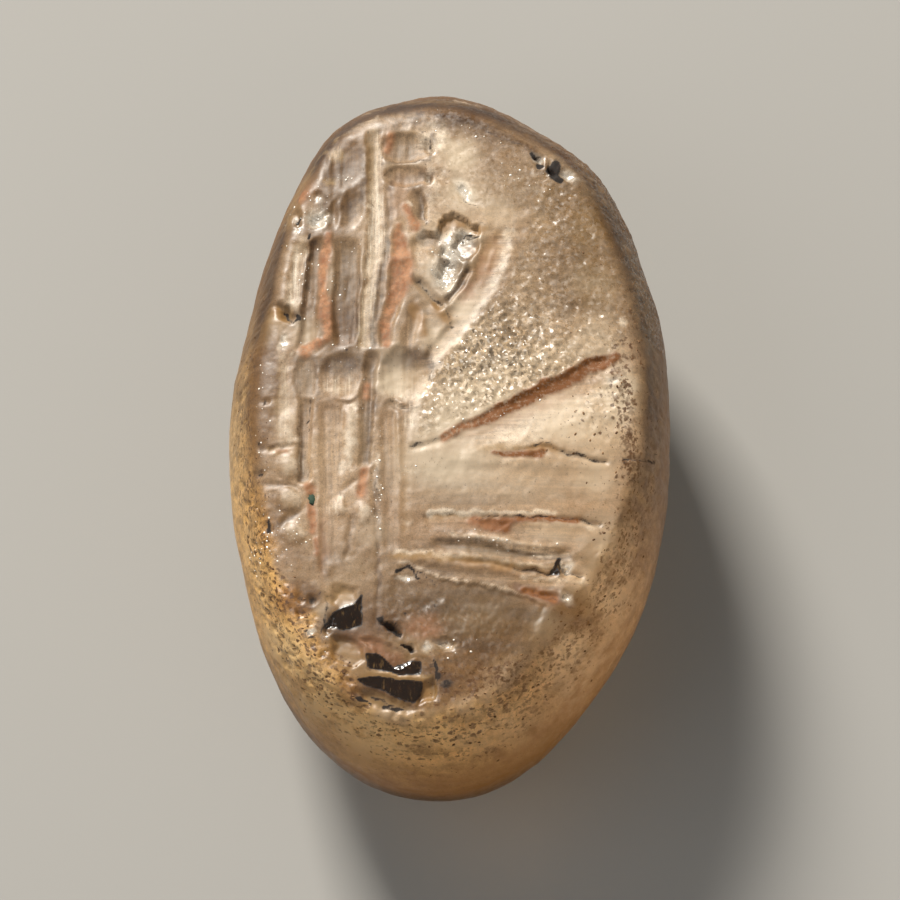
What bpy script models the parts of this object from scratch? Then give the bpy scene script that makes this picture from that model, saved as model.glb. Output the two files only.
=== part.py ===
"""A rock crystal stamp seal: one pebble of crystal, ground to an oval face that is cut in intaglio.

The seal lies on its rounded back with the cut face up. X runs across the face, +Y towards its top,
and +Z out of it. The origin is on the ground, under the middle of the stone. Everything that is cut
into the face is a wheel stroke, a drilled hollow or a flake, each a cutter taken from the pebble.
"""

import math

import bmesh
import bpy
from mathutils import Matrix, Vector

MM = 0.001

# The pebble. Its girth is an ellipse with slow swells and flats; the face is ground off above it.
HALF_WIDTH = 7.35
HALF_LENGTH = 12.35
FACE_RISE = 3.2  # from the girth up to the rim of the face
CROWN = 0.35  # how much the middle of the face stands over its rim
BACK_DEPTH = 5.6  # from the girth down to the back, before its flat
BACK_POWER = 2.3  # 2 is an ellipse, and more is fuller
REST_FLAT = 0.06  # ground off the back, so that the seal lies still
RIM_SHARE = 0.865  # the rim's radius as a share of the girth's
RIM_WEAR = 0.38  # length of the worn curve across the rim
RIM_WEAR_CRISP = 0.12  # the same along the sharp lower right
CRISP_BEARING = 305
CRISP_SPREAD = 42

# (bearing in degrees from +X, change in mm, spread in degrees)
GIRTH_SWELLS = (
    (31, 0.15, 19),
    (60, 0.22, 14),
    (76, -0.3, 10),
    (109, 0.42, 9),
    (147, -0.25, 21),
    (247, 0.42, 19),
    (295, -0.3, 16),
)
# (bearing in degrees, change of the rim's share, spread in degrees)
RIM_SHIFTS = (
    (123, 0.03, 18),
    (238, 0.045, 26),
    (290, -0.07, 13),
    (315, -0.055, 22),
)

# The mesh of the pebble: segments round it, and rings from the middle of the face to the back.
SEGMENTS = 84
FACE_RINGS = 6
RIM_RINGS = 3
FLANK_RINGS = 5
BACK_RINGS = 9
RINGS = FACE_RINGS + RIM_RINGS + FLANK_RINGS + BACK_RINGS

# Wheel strokes on the face: name, points (x, y), width at start and end, depth at start and end.
STROKES = (
    # The staff between the two figures, and the fine line under it.
    ("staff_upper", ((-2.55, 9.95), (-2.43, 7.15), (-2.47, 5.4), (-2.8, 1.85)), (0.6, 0.46), (0.2, 0.2)),
    ("staff_lower", ((-2.52, 1.75), (-2.68, 0.15), (-2.71, -1.1), (-2.84, -3.35)), (0.44, 0.34), (0.2, 0.15)),
    ("staff_foot", ((-2.43, -2.4), (-2.4, -3.55), (-2.3, -5.6), (-2.28, -7.8)), (0.2, 0.16), (0.08, 0.06)),
    # The left figure: torso, and the folds of the skirt.
    ("left_side", ((-4.8, 5.75), (-5.0, 4.85), (-5.15, 3.5)), (0.6, 0.5), (0.14, 0.14)),
    ("left_arm", ((-4.2, 5.85), (-4.35, 4.85), (-4.5, 3.55), (-4.78, 1.75)), (0.72, 0.6), (0.3, 0.26)),
    ("left_chest", ((-3.36, 5.85), (-3.36, 4.0), (-3.38, 1.9)), (0.9, 0.88), (0.3, 0.3)),
    ("left_hem", ((-5.25, 1.75), (-5.35, -0.05), (-5.3, -1.45)), (0.6, 0.62), (0.1, 0.08)),
    ("left_leg", ((-4.72, 0.2), (-4.74, -1.45), (-4.68, -2.9)), (0.42, 0.38), (0.18, 0.16)),
    ("left_foot", ((-4.45, -2.85), (-4.45, -4.5), (-4.3, -5.3)), (0.3, 0.24), (0.13, 0.1)),
    ("left_fold", ((-3.86, -0.05), (-3.84, -2.8), (-3.86, -5.7)), (0.78, 0.7), (0.16, 0.12)),
    ("left_notch_upper", ((-6.0, -1.75), (-5.5, -1.58), (-4.95, -1.55)), (0.26, 0.2), (0.11, 0.08)),
    ("left_notch_middle", ((-6.1, -2.85), (-5.55, -2.9), (-4.9, -2.98)), (0.22, 0.18), (0.09, 0.07)),
    ("left_notch_lower", ((-5.5, -4.28), (-5.15, -4.0), (-4.8, -3.78)), (0.28, 0.2), (0.12, 0.08)),
    # The right figure: back, torso, raised arm and skirt.
    ("right_back", ((-2.07, 7.85), (-2.1, 5.75), (-2.25, 4.3), (-2.47, 1.85)), (0.3, 0.28), (0.13, 0.12)),
    ("right_neck", ((-1.2, 7.6), (-0.98, 7.0), (-0.93, 6.4)), (0.5, 0.5), (0.22, 0.22)),
    ("right_shoulder", ((-1.65, 6.4), (-1.62, 5.9), (-1.6, 5.0)), (0.4, 0.8), (0.18, 0.32)),
    ("right_chest", ((-1.6, 5.1), (-1.75, 3.9), (-2.0, 2.85), (-2.12, 1.85)), (0.8, 0.4), (0.32, 0.18)),
    ("right_waist", ((-1.0, 3.4), (-1.25, 2.4), (-1.4, 1.7)), (0.5, 0.5), (0.2, 0.22)),
    ("right_skirt", ((-1.98, -0.3), (-1.95, -2.8), (-1.88, -5.3)), (0.54, 0.46), (0.16, 0.1)),
    ("upper_arm", ((-1.15, 4.4), (-0.7, 3.9), (-0.17, 3.25)), (0.38, 0.38), (0.17, 0.17)),
    ("forearm", ((0.66, 4.75), (0.4, 4.15), (-0.1, 3.4)), (0.36, 0.38), (0.16, 0.17)),
    ("hand_back", ((1.4, 5.9), (1.12, 4.95), (0.82, 4.0), (0.35, 3.3), (-0.1, 2.7)), (0.66, 0.5), (0.24, 0.2)),
    ("hand_bevel", ((1.88, 6.1), (1.2, 3.9), (0.17, 2.4), (-0.8, 0.85), (-1.3, -1.2)), (0.56, 0.6), (0.2, 0.16)),
    # The rays that spread to the right, and the shallow hollows between them.
    ("ray_first", ((-1.3, -1.72), (1.0, -0.6), (3.63, 0.7), (5.45, 1.65)), (0.26, 0.8), (0.12, 0.4)),
    ("ray_first_bevel", ((0.6, -1.35), (2.3, -0.5), (3.63, -0.05), (5.6, 0.8)), (0.24, 0.44), (0.06, 0.12)),
    ("ray_second", ((1.5, -1.9), (3.2, -1.62), (4.3, -1.92), (5.2, -2.08)), (0.32, 0.28), (0.12, 0.12)),
    ("hollow_second", ((-0.4, -2.5), (2.3, -2.85), (5.3, -3.05)), (0.8, 1.4), (0.06, 0.1)),
    ("ray_third", ((0.4, -4.12), (2.45, -4.13), (5.0, -4.32)), (0.24, 0.26), (0.1, 0.11)),
    ("hollow_third", ((-0.8, -4.25), (1.2, -4.5), (4.6, -4.9)), (0.5, 0.9), (0.08, 0.12)),
    ("ray_fourth", ((-0.55, -5.05), (1.65, -5.27), (4.0, -5.35)), (0.42, 0.5), (0.18, 0.2)),
    ("ray_fifth", ((0.1, -5.6), (1.98, -5.82), (3.55, -5.97)), (0.24, 0.3), (0.1, 0.13)),
    ("hollow_fifth", ((-1.3, -5.85), (0.03, -6.0), (3.7, -6.42)), (0.4, 0.6), (0.1, 0.14)),
    ("ray_sixth", ((2.35, -6.55), (2.95, -6.72), (3.58, -6.92)), (0.32, 0.3), (0.14, 0.13)),
)

# Hollows and flakes on the face: name, centre (x, y), half sizes, depth, turn in degrees.
HOLLOWS = (
    ("left_crown", (-3.57, 8.65), (0.74, 0.98), 0.3, 0),
    ("left_head", (-3.25, 6.95), (0.42, 0.8), 0.3, -8),
    ("left_ear", (-4.4, 6.6), (0.34, 0.34), 0.32, 0),
    ("left_small_drill", (-4.37, 7.5), (0.2, 0.2), 0.2, 0),
    ("right_crown", (-1.5, 9.2), (0.92, 0.6), 0.36, 0),
    ("right_head", (-1.43, 8.15), (0.84, 0.4), 0.3, 0),
    ("left_belt_side", (-4.7, 0.85), (0.4, 0.84), 0.24, 0),
    ("left_belt", (-3.55, 0.82), (0.7, 0.94), 0.36, 0),
    ("right_belt", (-1.45, 0.88), (0.86, 1.08), 0.44, 0),
    ("raised_hand", (0.45, 5.6), (0.66, 0.78), 0.38, -10),
    ("raised_palm", (-0.1, 4.6), (0.5, 0.9), 0.4, 8),
    ("crescent_chip", (0.68, 7.5), (0.48, 0.24), 0.16, -52),
    ("foot_flake", (-3.45, -6.8), (0.6, 0.5), 0.3, 0),
    ("foot_hollow", (-3.22, -7.35), (0.42, 0.66), 0.48, -25),
    ("side_flake", (-1.8, -7.95), (0.5, 0.2), 0.26, -36),
    ("end_flake_upper", (-1.8, -8.98), (1.15, 0.4), 0.46, -20),
    ("end_flake_lower", (-1.85, -9.9), (1.2, 0.44), 0.56, -12),
    ("corner_chip", (3.66, -5.8), (0.34, 0.42), 0.3, -40),
    ("top_chip", (3.45, 8.5), (0.34, 0.5), 0.36, -20),
    ("left_edge_chip", (-5.38, 3.2), (0.34, 0.52), 0.34, 34),
    ("left_rim_chip", (-5.0, 6.62), (0.24, 0.32), 0.28, 0),
)
HOLLOW_DISH = 0.88  # 1 gives walls that start upright, and less a shallower dish
PATH_STEP = 0.66  # spacing of the points along a stroke
PLUNGE = 0.9  # the wheel sinks in over this much of a stroke's width
CUTTER_SIDES = 4  # bevel resolution of a stroke's tube
LIFT = 0.02  # clear of the face, where a stroke's ends come up


def swelling(bearing, rows):
    """The sum of the rows' changes at a bearing in degrees, each fading over its spread."""
    total = 0.0
    for centre, change, spread in rows:
        away = (bearing - centre + 180) % 360 - 180
        total += change * math.exp(-((away / spread) ** 2))
    return total


def girth_radius(bearing):
    turn = math.radians(bearing)
    ellipse = 1 / math.hypot(math.cos(turn) / HALF_WIDTH, math.sin(turn) / HALF_LENGTH)
    return ellipse + swelling(bearing, GIRTH_SWELLS)


def rim_radius(bearing):
    return girth_radius(bearing) * (RIM_SHARE + swelling(bearing, RIM_SHIFTS))


def rim_wear(bearing):
    return RIM_WEAR + swelling(bearing, ((CRISP_BEARING, RIM_WEAR_CRISP - RIM_WEAR, CRISP_SPREAD),))


def girth_centre():
    """The middle of the girth's box, which is put over the origin."""
    places = [
        (girth_radius(b / 2) * math.cos(math.radians(b / 2)), girth_radius(b / 2) * math.sin(math.radians(b / 2)))
        for b in range(720)
    ]
    xs, ys = zip(*places)
    return (min(xs) + max(xs)) / 2, (min(ys) + max(ys)) / 2


SHIFT_X, SHIFT_Y = girth_centre()
GIRTH_HEIGHT = BACK_DEPTH - REST_FLAT


def face_height(x, y):
    """Height of the uncut face over the girth, at a place measured from the girth's own middle."""
    bearing = math.degrees(math.atan2(y, x))
    share = math.hypot(x, y) / rim_radius(bearing)
    return FACE_RISE + CROWN * (1 - share * share)


def ring_place(bearing, ring):
    """Radius and height over the girth of one ring of the pebble, at a bearing."""
    girth = girth_radius(bearing)
    rim = rim_radius(bearing)
    wear = rim_wear(bearing)
    rim_arc = math.acos(rim / girth)
    belly = FACE_RISE / math.sin(rim_arc)
    inner = 1 - wear / rim
    outer_arc = rim_arc - wear / belly
    if ring <= FACE_RINGS:
        share = inner * ring / FACE_RINGS
        return rim * share, FACE_RISE + CROWN * (1 - share * share)
    ring -= FACE_RINGS
    if ring <= RIM_RINGS:
        along = ring / RIM_RINGS
        corners = (
            Vector((rim * inner, FACE_RISE + CROWN * (1 - inner * inner))),
            Vector((rim, FACE_RISE)),
            Vector((girth * math.cos(outer_arc), belly * math.sin(outer_arc))),
        )
        place = corners[0].lerp(corners[1], along).lerp(corners[1].lerp(corners[2], along), along)
        return place.x, place.y
    ring -= RIM_RINGS
    if ring <= FLANK_RINGS:
        arc = outer_arc * (1 - ring / FLANK_RINGS)
        return girth * math.cos(arc), belly * math.sin(arc)
    ring -= FLANK_RINGS
    flat_share = (1 - ((BACK_DEPTH - REST_FLAT) / BACK_DEPTH) ** BACK_POWER) ** (1 / BACK_POWER)
    if ring == BACK_RINGS:
        return 0.0, -GIRTH_HEIGHT
    swing = math.pi / 2 * ring / (BACK_RINGS - 1)
    share = flat_share + (1 - flat_share) * math.cos(swing)
    depth = BACK_DEPTH * max(0.0, 1 - share**BACK_POWER) ** (1 / BACK_POWER)
    return girth * share, -depth


def make_pebble():
    """A sphere whose rings are moved to the face, the worn rim, the flank, the back and its flat."""
    mesh = bpy.data.meshes.new("seal")
    shell = bmesh.new()
    bmesh.ops.create_uvsphere(shell, u_segments=SEGMENTS, v_segments=RINGS, radius=1)
    for vertex in shell.verts:
        ring = round(math.acos(max(-1.0, min(1.0, vertex.co.z))) / math.pi * RINGS)
        bearing = math.degrees(math.atan2(vertex.co.y, vertex.co.x))
        radius, height = ring_place(bearing, ring)
        turn = math.radians(bearing)
        vertex.co = Vector(
            (
                (radius * math.cos(turn) - SHIFT_X) * MM,
                (radius * math.sin(turn) - SHIFT_Y) * MM,
                (height + GIRTH_HEIGHT) * MM,
            )
        )
    bmesh.ops.recalc_face_normals(shell, faces=shell.faces)
    shell.to_mesh(mesh)
    shell.free()
    return bpy.data.objects.new("seal", mesh)


def smooth_path(points):
    """Points a PATH_STEP apart on a Catmull-Rom curve through the stroke's own points."""
    ends = [Vector(p) for p in points]
    ends = [ends[0] * 2 - ends[1], *ends, ends[-1] * 2 - ends[-2]]
    path = []
    for a, b, c, d in zip(ends, ends[1:], ends[2:], ends[3:]):
        steps = max(2, math.ceil((c - b).length / PATH_STEP))
        for i in range(steps):
            t = i / steps
            path.append(
                0.5 * (2 * b + (c - a) * t + (2 * a - 5 * b + 4 * c - d) * t * t + (3 * b - a - 3 * c + d) * t**3)
            )
    path.append(ends[-2])
    return path


def stroke_cutter(name, points, widths, depths):
    """A tube that a wheel of the stroke's radius would sweep, coming up out of the face at both ends."""
    path = smooth_path(points)
    lengths = [0.0]
    for before, after in zip(path, path[1:]):
        lengths.append(lengths[-1] + (after - before).length)
    curve = bpy.data.curves.new(name, "CURVE")
    curve.dimensions = "3D"
    curve.bevel_depth = MM
    curve.bevel_resolution = CUTTER_SIDES
    curve.use_fill_caps = True
    spline = curve.splines.new("POLY")
    spline.points.add(len(path) - 1)
    for point, place, length in zip(spline.points, path, lengths):
        along = length / lengths[-1]
        width = widths[0] + (widths[1] - widths[0]) * along
        depth = depths[0] + (depths[1] - depths[0]) * along
        radius = (width * width / 4 + depth * depth) / (2 * depth)
        from_end = min(length, lengths[-1] - length) / (PLUNGE * width)
        sunk = depth * math.sin(math.pi / 2 * min(1.0, from_end)) - LIFT * (from_end == 0)
        height = face_height(place.x, place.y) + radius - sunk + GIRTH_HEIGHT
        point.co = ((place.x - SHIFT_X) * MM, (place.y - SHIFT_Y) * MM, height * MM, 1)
        point.radius = radius
    tube = bpy.data.objects.new(name + "_tube", curve)
    bpy.context.scene.collection.objects.link(tube)
    graph = bpy.context.evaluated_depsgraph_get()
    mesh = bpy.data.meshes.new_from_object(tube.evaluated_get(graph))
    cutter = bpy.data.objects.new(name, mesh)
    cutter.matrix_world = tube.matrix_world
    bpy.data.objects.remove(tube)
    closed = bmesh.new()
    closed.from_mesh(mesh)
    bmesh.ops.remove_doubles(closed, verts=closed.verts, dist=1e-7)
    bmesh.ops.recalc_face_normals(closed, faces=closed.faces)
    closed.to_mesh(mesh)
    closed.free()
    return cutter


def hollow_cutter(name, centre, half_sizes, depth, turn):
    """An ellipsoid whose lowest cap is the hollow: half_sizes across at the face, and depth deep."""
    raised = math.sqrt(1 - HOLLOW_DISH**2)
    upright = depth / (1 - raised)
    height = face_height(*centre) + upright * raised + GIRTH_HEIGHT
    mesh = bpy.data.meshes.new(name)
    ball = bmesh.new()
    bmesh.ops.create_uvsphere(ball, u_segments=16, v_segments=12, radius=1)
    across, along = (size / HOLLOW_DISH for size in half_sizes)
    place = Vector(((centre[0] - SHIFT_X) * MM, (centre[1] - SHIFT_Y) * MM, height * MM))
    placed = (
        Matrix.Translation(place)
        @ Matrix.Rotation(math.radians(turn), 4, "Z")
        @ Matrix.Diagonal((across * MM, along * MM, upright * MM, 1))
    )
    bmesh.ops.transform(ball, matrix=placed, verts=ball.verts)
    ball.to_mesh(mesh)
    ball.free()
    return bpy.data.objects.new(name, mesh)


def crystal_material():
    material = bpy.data.materials.new("rock_crystal")
    material.use_nodes = True
    shader = material.node_tree.nodes["Principled BSDF"]
    shader.inputs["Base Color"].default_value = (0.62, 0.5, 0.36, 1)
    shader.inputs["Roughness"].default_value = 0.3
    shader.inputs["Metallic"].default_value = 0.0
    shader.inputs["Transmission Weight"].default_value = 0.9
    shader.inputs["IOR"].default_value = 1.544
    return material


def cut_face(pebble, cutters):
    cut = pebble.modifiers.new("cut_face", "BOOLEAN")
    cut.operation = "DIFFERENCE"
    cut.operand_type = "COLLECTION"
    cut.collection = cutters
    cut.solver = "EXACT"


def main():
    for old in list(bpy.data.objects):
        bpy.data.objects.remove(old)
    parts = bpy.data.collections.new("rock_crystal_stamp_seal")
    cutters = bpy.data.collections.new("wheel_and_drill_cutters")
    for collection in (parts, cutters):
        bpy.context.scene.collection.children.link(collection)
    pebble = make_pebble()
    pebble.data.materials.append(crystal_material())
    parts.objects.link(pebble)
    made = [stroke_cutter(*stroke) for stroke in STROKES]
    made += [hollow_cutter(*hollow) for hollow in HOLLOWS]
    for cutter in made:
        cutters.objects.link(cutter)
        cutter.hide_render = True
        cutter.display_type = "WIRE"
    cut_face(pebble, cutters)
    pebble.data.shade_smooth()


main()
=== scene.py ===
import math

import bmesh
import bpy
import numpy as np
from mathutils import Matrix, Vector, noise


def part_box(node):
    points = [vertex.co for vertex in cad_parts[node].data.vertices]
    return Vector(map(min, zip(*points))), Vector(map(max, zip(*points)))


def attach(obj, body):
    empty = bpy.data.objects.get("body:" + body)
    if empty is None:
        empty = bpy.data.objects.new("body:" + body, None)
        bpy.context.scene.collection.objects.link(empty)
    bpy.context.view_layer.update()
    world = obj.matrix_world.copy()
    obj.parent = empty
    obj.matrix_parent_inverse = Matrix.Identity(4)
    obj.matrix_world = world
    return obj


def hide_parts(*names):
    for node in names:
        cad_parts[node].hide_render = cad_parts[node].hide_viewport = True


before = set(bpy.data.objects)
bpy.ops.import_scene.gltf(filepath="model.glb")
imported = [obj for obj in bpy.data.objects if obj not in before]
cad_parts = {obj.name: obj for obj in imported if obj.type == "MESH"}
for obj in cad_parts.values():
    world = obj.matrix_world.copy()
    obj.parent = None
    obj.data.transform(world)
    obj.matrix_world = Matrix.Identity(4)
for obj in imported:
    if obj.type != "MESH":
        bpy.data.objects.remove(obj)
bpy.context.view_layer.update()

# The looks of a rock crystal stamp seal that lies on its rounded back with the cut face up: the worn
# crystal itself, the red and yellow earth left in its cuts, and the grains lodged in its pits.
# Lengths are in millimetres until a mesh is made. Places on the face are measured from the girth's
# own middle, as in the solid, with +X towards the rays and +Y towards the figures' heads. Bearings are
# in degrees round the stone from +X. Each row of a table is one mark.

MM = 0.001
low_corner, high_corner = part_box("seal")
WIDTH, LENGTH, THICKNESS = ((high - low) / MM for low, high in zip(low_corner, high_corner))

# ----------------------------------------
# The stone's form
# ----------------------------------------

SWELL_REACH = 0.018  # the swells reach this far past the ellipse at each end
HALF_WIDTH = WIDTH / 2
HALF_LENGTH = LENGTH / 2 - SWELL_REACH
FACE_RISE = 3.2  # from the girth up to the face's rim
CROWN = 0.35  # from the rim up to the face's middle
REST_FLAT = 0.06  # how much is ground off the back to lie on
BACK_POWER = 2.3
GIRTH_HEIGHT = THICKNESS - FACE_RISE - CROWN
BACK_DEPTH = GIRTH_HEIGHT + REST_FLAT
RIM_SHARE = 0.865  # the rim's radius as a share of the girth's
RIM_WEAR = 0.38
CRISP_RIM = (305, 0.12 - RIM_WEAR, 42)  # where the rim is less worn: bearing, change, spread

# Swells of the girth: bearing, change in mm, spread in degrees.
GIRTH_SWELLS = (
    (31, 0.15, 19), (60, 0.22, 14), (76, -0.3, 10), (109, 0.42, 9), (147, -0.25, 21), (247, 0.42, 19),
    (295, -0.3, 16),
)
# Shifts of the rim: bearing, change of its share of the girth, spread in degrees.
RIM_SHIFTS = (
    (123, 0.03, 18), (238, 0.045, 26), (290, -0.07, 13), (315, -0.055, 22),
)

# The front sheet of the mesh covers the face, the rim and the flank down to the girth.
COLUMNS, ROWS = 230, 376
FACE_REACH = 0.83  # the share of the sheet's radius that the face takes
RIM_REACH = 0.868  # and the face with its worn rim
BACK_MERGE = 6  # this many edges of the front sheet meet one of the back
BACK_RINGS = 30


def fading(bearing, rows):
    """The sum of the rows' changes at each bearing, each fading over its spread."""
    total = np.zeros_like(bearing)
    for centre, change, spread in rows:
        away = (bearing - centre + 180) % 360 - 180
        total += change * np.exp(-((away / spread) ** 2))
    return total


def girth_radius(bearing):
    turn = np.radians(bearing)
    ellipse = 1 / np.hypot(np.cos(turn) / HALF_WIDTH, np.sin(turn) / HALF_LENGTH)
    return ellipse + fading(bearing, GIRTH_SWELLS)


def rim_radius(bearing):
    return girth_radius(bearing) * (RIM_SHARE + fading(bearing, RIM_SHIFTS))


def girth_middle():
    bearing = np.arange(0, 360, 0.5)
    x = girth_radius(bearing) * np.cos(np.radians(bearing))
    y = girth_radius(bearing) * np.sin(np.radians(bearing))
    return (x.min() + x.max()) / 2, (y.min() + y.max()) / 2


SHIFT_X, SHIFT_Y = girth_middle()


def crowned(share):
    """Height over the girth of the uncut face, at a share of the way from its middle to its rim."""
    return FACE_RISE + CROWN * (1 - share * share)


def front_place(bearing, reach):
    """Radius and height over the girth on the front sheet, whose reach runs from 0 to 1 at the girth."""
    girth, rim = girth_radius(bearing), rim_radius(bearing)
    wear = RIM_WEAR + fading(bearing, (CRISP_RIM,))
    rim_arc = np.arccos(rim / girth)
    belly = FACE_RISE / np.sin(rim_arc)
    inner = 1 - wear / rim
    outer_arc = rim_arc - wear / belly
    share = inner * reach / FACE_REACH
    face = rim * share, crowned(share)
    # The worn rim is a curve from the face's edge to the flank, drawn towards the sharp rim.
    along = np.clip((reach - FACE_REACH) / (RIM_REACH - FACE_REACH), 0, 1)
    starts = rim * inner, crowned(inner)
    sharp = rim, FACE_RISE
    ends = girth * np.cos(outer_arc), belly * np.sin(outer_arc)
    worn = [
        a * (1 - along) ** 2 + 2 * b * along * (1 - along) + c * along**2
        for a, b, c in zip(starts, sharp, ends)
    ]
    arc = outer_arc * np.clip((1 - reach) / (1 - RIM_REACH), 0, 1)
    flank = girth * np.cos(arc), belly * np.sin(arc)
    on_face, on_rim = reach <= FACE_REACH, reach <= RIM_REACH
    return [np.where(on_face, face[i], np.where(on_rim, worn[i], flank[i])) for i in (0, 1)]


def back_place(bearing, fall):
    """Radius and height on the back, where fall runs from 0 at the girth to 1 at the flat's edge."""
    flat_share = (1 - (GIRTH_HEIGHT / BACK_DEPTH) ** BACK_POWER) ** (1 / BACK_POWER)
    share = flat_share + (1 - flat_share) * math.cos(math.pi / 2 * fall)
    depth = BACK_DEPTH * max(0.0, 1 - share**BACK_POWER) ** (1 / BACK_POWER)
    return girth_radius(bearing) * share, np.full_like(bearing, -depth)


# ----------------------------------------
# The face's cuts. Strokes: points, width at start and end, depth at start and end, flatness, lean.
# Flatness 2 is a round groove and more is a flat one. Lean, from -1 to 1, moves the deepest line
# towards the stroke's left.
# ----------------------------------------

STAFF = (
    (((-2.52, 9.95), (-2.47, 8.35), (-2.42, 6.9), (-2.48, 5.4), (-2.65, 3.9), (-2.8, 1.85)),
     (0.54, 0.46), (0.2, 0.26), 4, 0),
    (((-2.8, 7.15), (-2.2, 6.88)), (0.14, 0.14), (0.16, 0.12), 2, 0),
    (((-2.72, 6.8), (-2.35, 6.72)), (0.1, 0.1), (0.08, 0.08), 2, 0),
    (((-2.75, 6.6), (-2.4, 6.55)), (0.1, 0.1), (0.08, 0.08), 2, 0),
    (((-2.65, 6.42), (-2.42, 6.38)), (0.1, 0.1), (0.07, 0.07), 2, 0),
    (((-2.52, 1.75), (-2.68, 0.15), (-2.71, -1.1), (-2.78, -2.4)), (0.44, 0.42), (0.32, 0.26), 4, 0),
    (((-2.78, -2.35), (-2.84, -3.35)), (0.36, 0.3), (0.22, 0.14), 3, 0),
    (((-2.43, -2.4), (-2.4, -3.55), (-2.3, -5.6), (-2.28, -7.8)), (0.16, 0.12), (0.14, 0.1), 2, 0),
)
LEFT_FIGURE = (
    (((-4.8, 5.75), (-5, 4.85), (-5.15, 3.5)), (0.6, 0.5), (0.14, 0.14), 4, 0),
    (((-4.2, 5.85), (-4.35, 4.85), (-4.5, 3.55), (-4.65, 2.45), (-4.78, 1.75)), (0.72, 0.6),
     (0.4, 0.36), 2.4, -0.6),
    (((-3.36, 5.85), (-3.36, 4), (-3.38, 1.9)), (0.9, 0.88), (0.34, 0.34), 5, -0.2),
    (((-3.37, 4.6), (-3.4, 3.5)), (0.34, 0.3), (0.44, 0.42), 2, 0),
    (((-5.25, 1.75), (-5.35, -0.05), (-5.3, -1.45)), (0.6, 0.62), (0.1, 0.08), 3, 0),
    (((-4.72, 0.2), (-4.74, -1.45), (-4.68, -2.9)), (0.42, 0.38), (0.3, 0.24), 5, -0.1),
    (((-4.55, 0), (-4.6, -1.2), (-4.58, -2.8)), (0.14, 0.12), (0.36, 0.26), 2, 0),
    (((-3.86, -0.05), (-3.84, -2.8), (-3.86, -5.7)), (0.78, 0.7), (0.18, 0.12), 5, 0),
    (((-3.5, -0.05), (-3.52, -2.6)), (0.16, 0.14), (0.2, 0.14), 2, 0),
    (((-4.45, -2.85), (-4.45, -4.5), (-4.3, -5.3)), (0.3, 0.24), (0.22, 0.12), 2, 0),
    (((-3.02, -2.8), (-3.6, -3.25)), (0.2, 0.16), (0.14, 0.06), 2, 0),
    (((-3.13, -4.05), (-3.26, -5.1), (-3.4, -5.6)), (0.18, 0.14), (0.12, 0.06), 2, 0),
    (((-4.12, -5.1), (-4.02, -6.05)), (0.4, 0.3), (0.14, 0.08), 2, 0),
    (((-6, -1.75), (-5.5, -1.58), (-4.95, -1.55)), (0.3, 0.24), (0.12, 0.08), 2, 0.2),
    (((-6.1, -2.85), (-5.55, -2.9), (-4.9, -2.98)), (0.28, 0.24), (0.09, 0.07), 2, 0.2),
    (((-5.5, -4.28), (-5.15, -4), (-4.8, -3.78)), (0.34, 0.24), (0.12, 0.08), 2, 0.2),
)
RIGHT_FIGURE = (
    (((-2.07, 7.85), (-2.03, 6.7), (-2.1, 5.75), (-2.25, 4.3), (-2.4, 2.85), (-2.47, 1.85)),
     (0.36, 0.34), (0.14, 0.2), 2, 0),
    (((-1.65, 6.4), (-1.62, 5.9), (-1.6, 5)), (0.4, 0.8), (0.26, 0.36), 3, -0.3),
    (((-1.6, 5.1), (-1.75, 3.9), (-2, 2.85), (-2.12, 1.85)), (0.8, 0.4), (0.36, 0.34), 3, -0.2),
    (((-1.2, 7.6), (-0.98, 7), (-0.93, 6.4)), (0.5, 0.5), (0.34, 0.36), 2, 0.5),
    (((-1, 3.4), (-1.25, 2.4), (-1.4, 1.7)), (0.5, 0.5), (0.2, 0.22), 2, 0),
    (((-1.15, 4.4), (-0.7, 3.9), (-0.17, 3.25)), (0.34, 0.34), (0.3, 0.4), 2, 0),
    (((0.66, 4.75), (0.4, 4.15), (-0.1, 3.4)), (0.3, 0.34), (0.34, 0.4), 2, 0),
    (((-0.83, 3.6), (-0.55, 2.45), (-0.4, 1.6)), (0.44, 0.36), (0.14, 0.1), 2, 0),
    (((1.4, 5.9), (1.12, 4.95), (0.82, 4), (0.35, 3.3), (-0.1, 2.7)), (0.66, 0.5), (0.26, 0.2), 3, 0),
    (((1.88, 6.1), (1.6, 4.85), (1.2, 3.9), (0.68, 3.1), (0.17, 2.4), (-0.38, 1.7), (-0.82, 0.85),
      (-1.18, -0.1), (-1.3, -1.2)), (0.56, 0.6), (0.22, 0.16), 1.6, -0.75),
    (((-1.98, -0.3), (-1.95, -2.8), (-1.88, -5.3)), (0.54, 0.46), (0.18, 0.1), 5, 0),
    (((-1.46, -0.6), (-1.42, -2.8), (-1.4, -4.6)), (0.34, 0.26), (0.1, 0.05), 3, 0),
    (((-1.9, 9.4), (-0.75, 9.4)), (0.12, 0.1), (0.46, 0.42), 2, 0),
    (((-2, 9.15), (-0.8, 9.2)), (0.1, 0.1), (0.44, 0.46), 2, 0),
    (((0.42, 7.9), (0.56, 7.4), (0.97, 7.1)), (0.42, 0.24), (0.18, 0.12), 1.6, -0.7),
)
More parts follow.
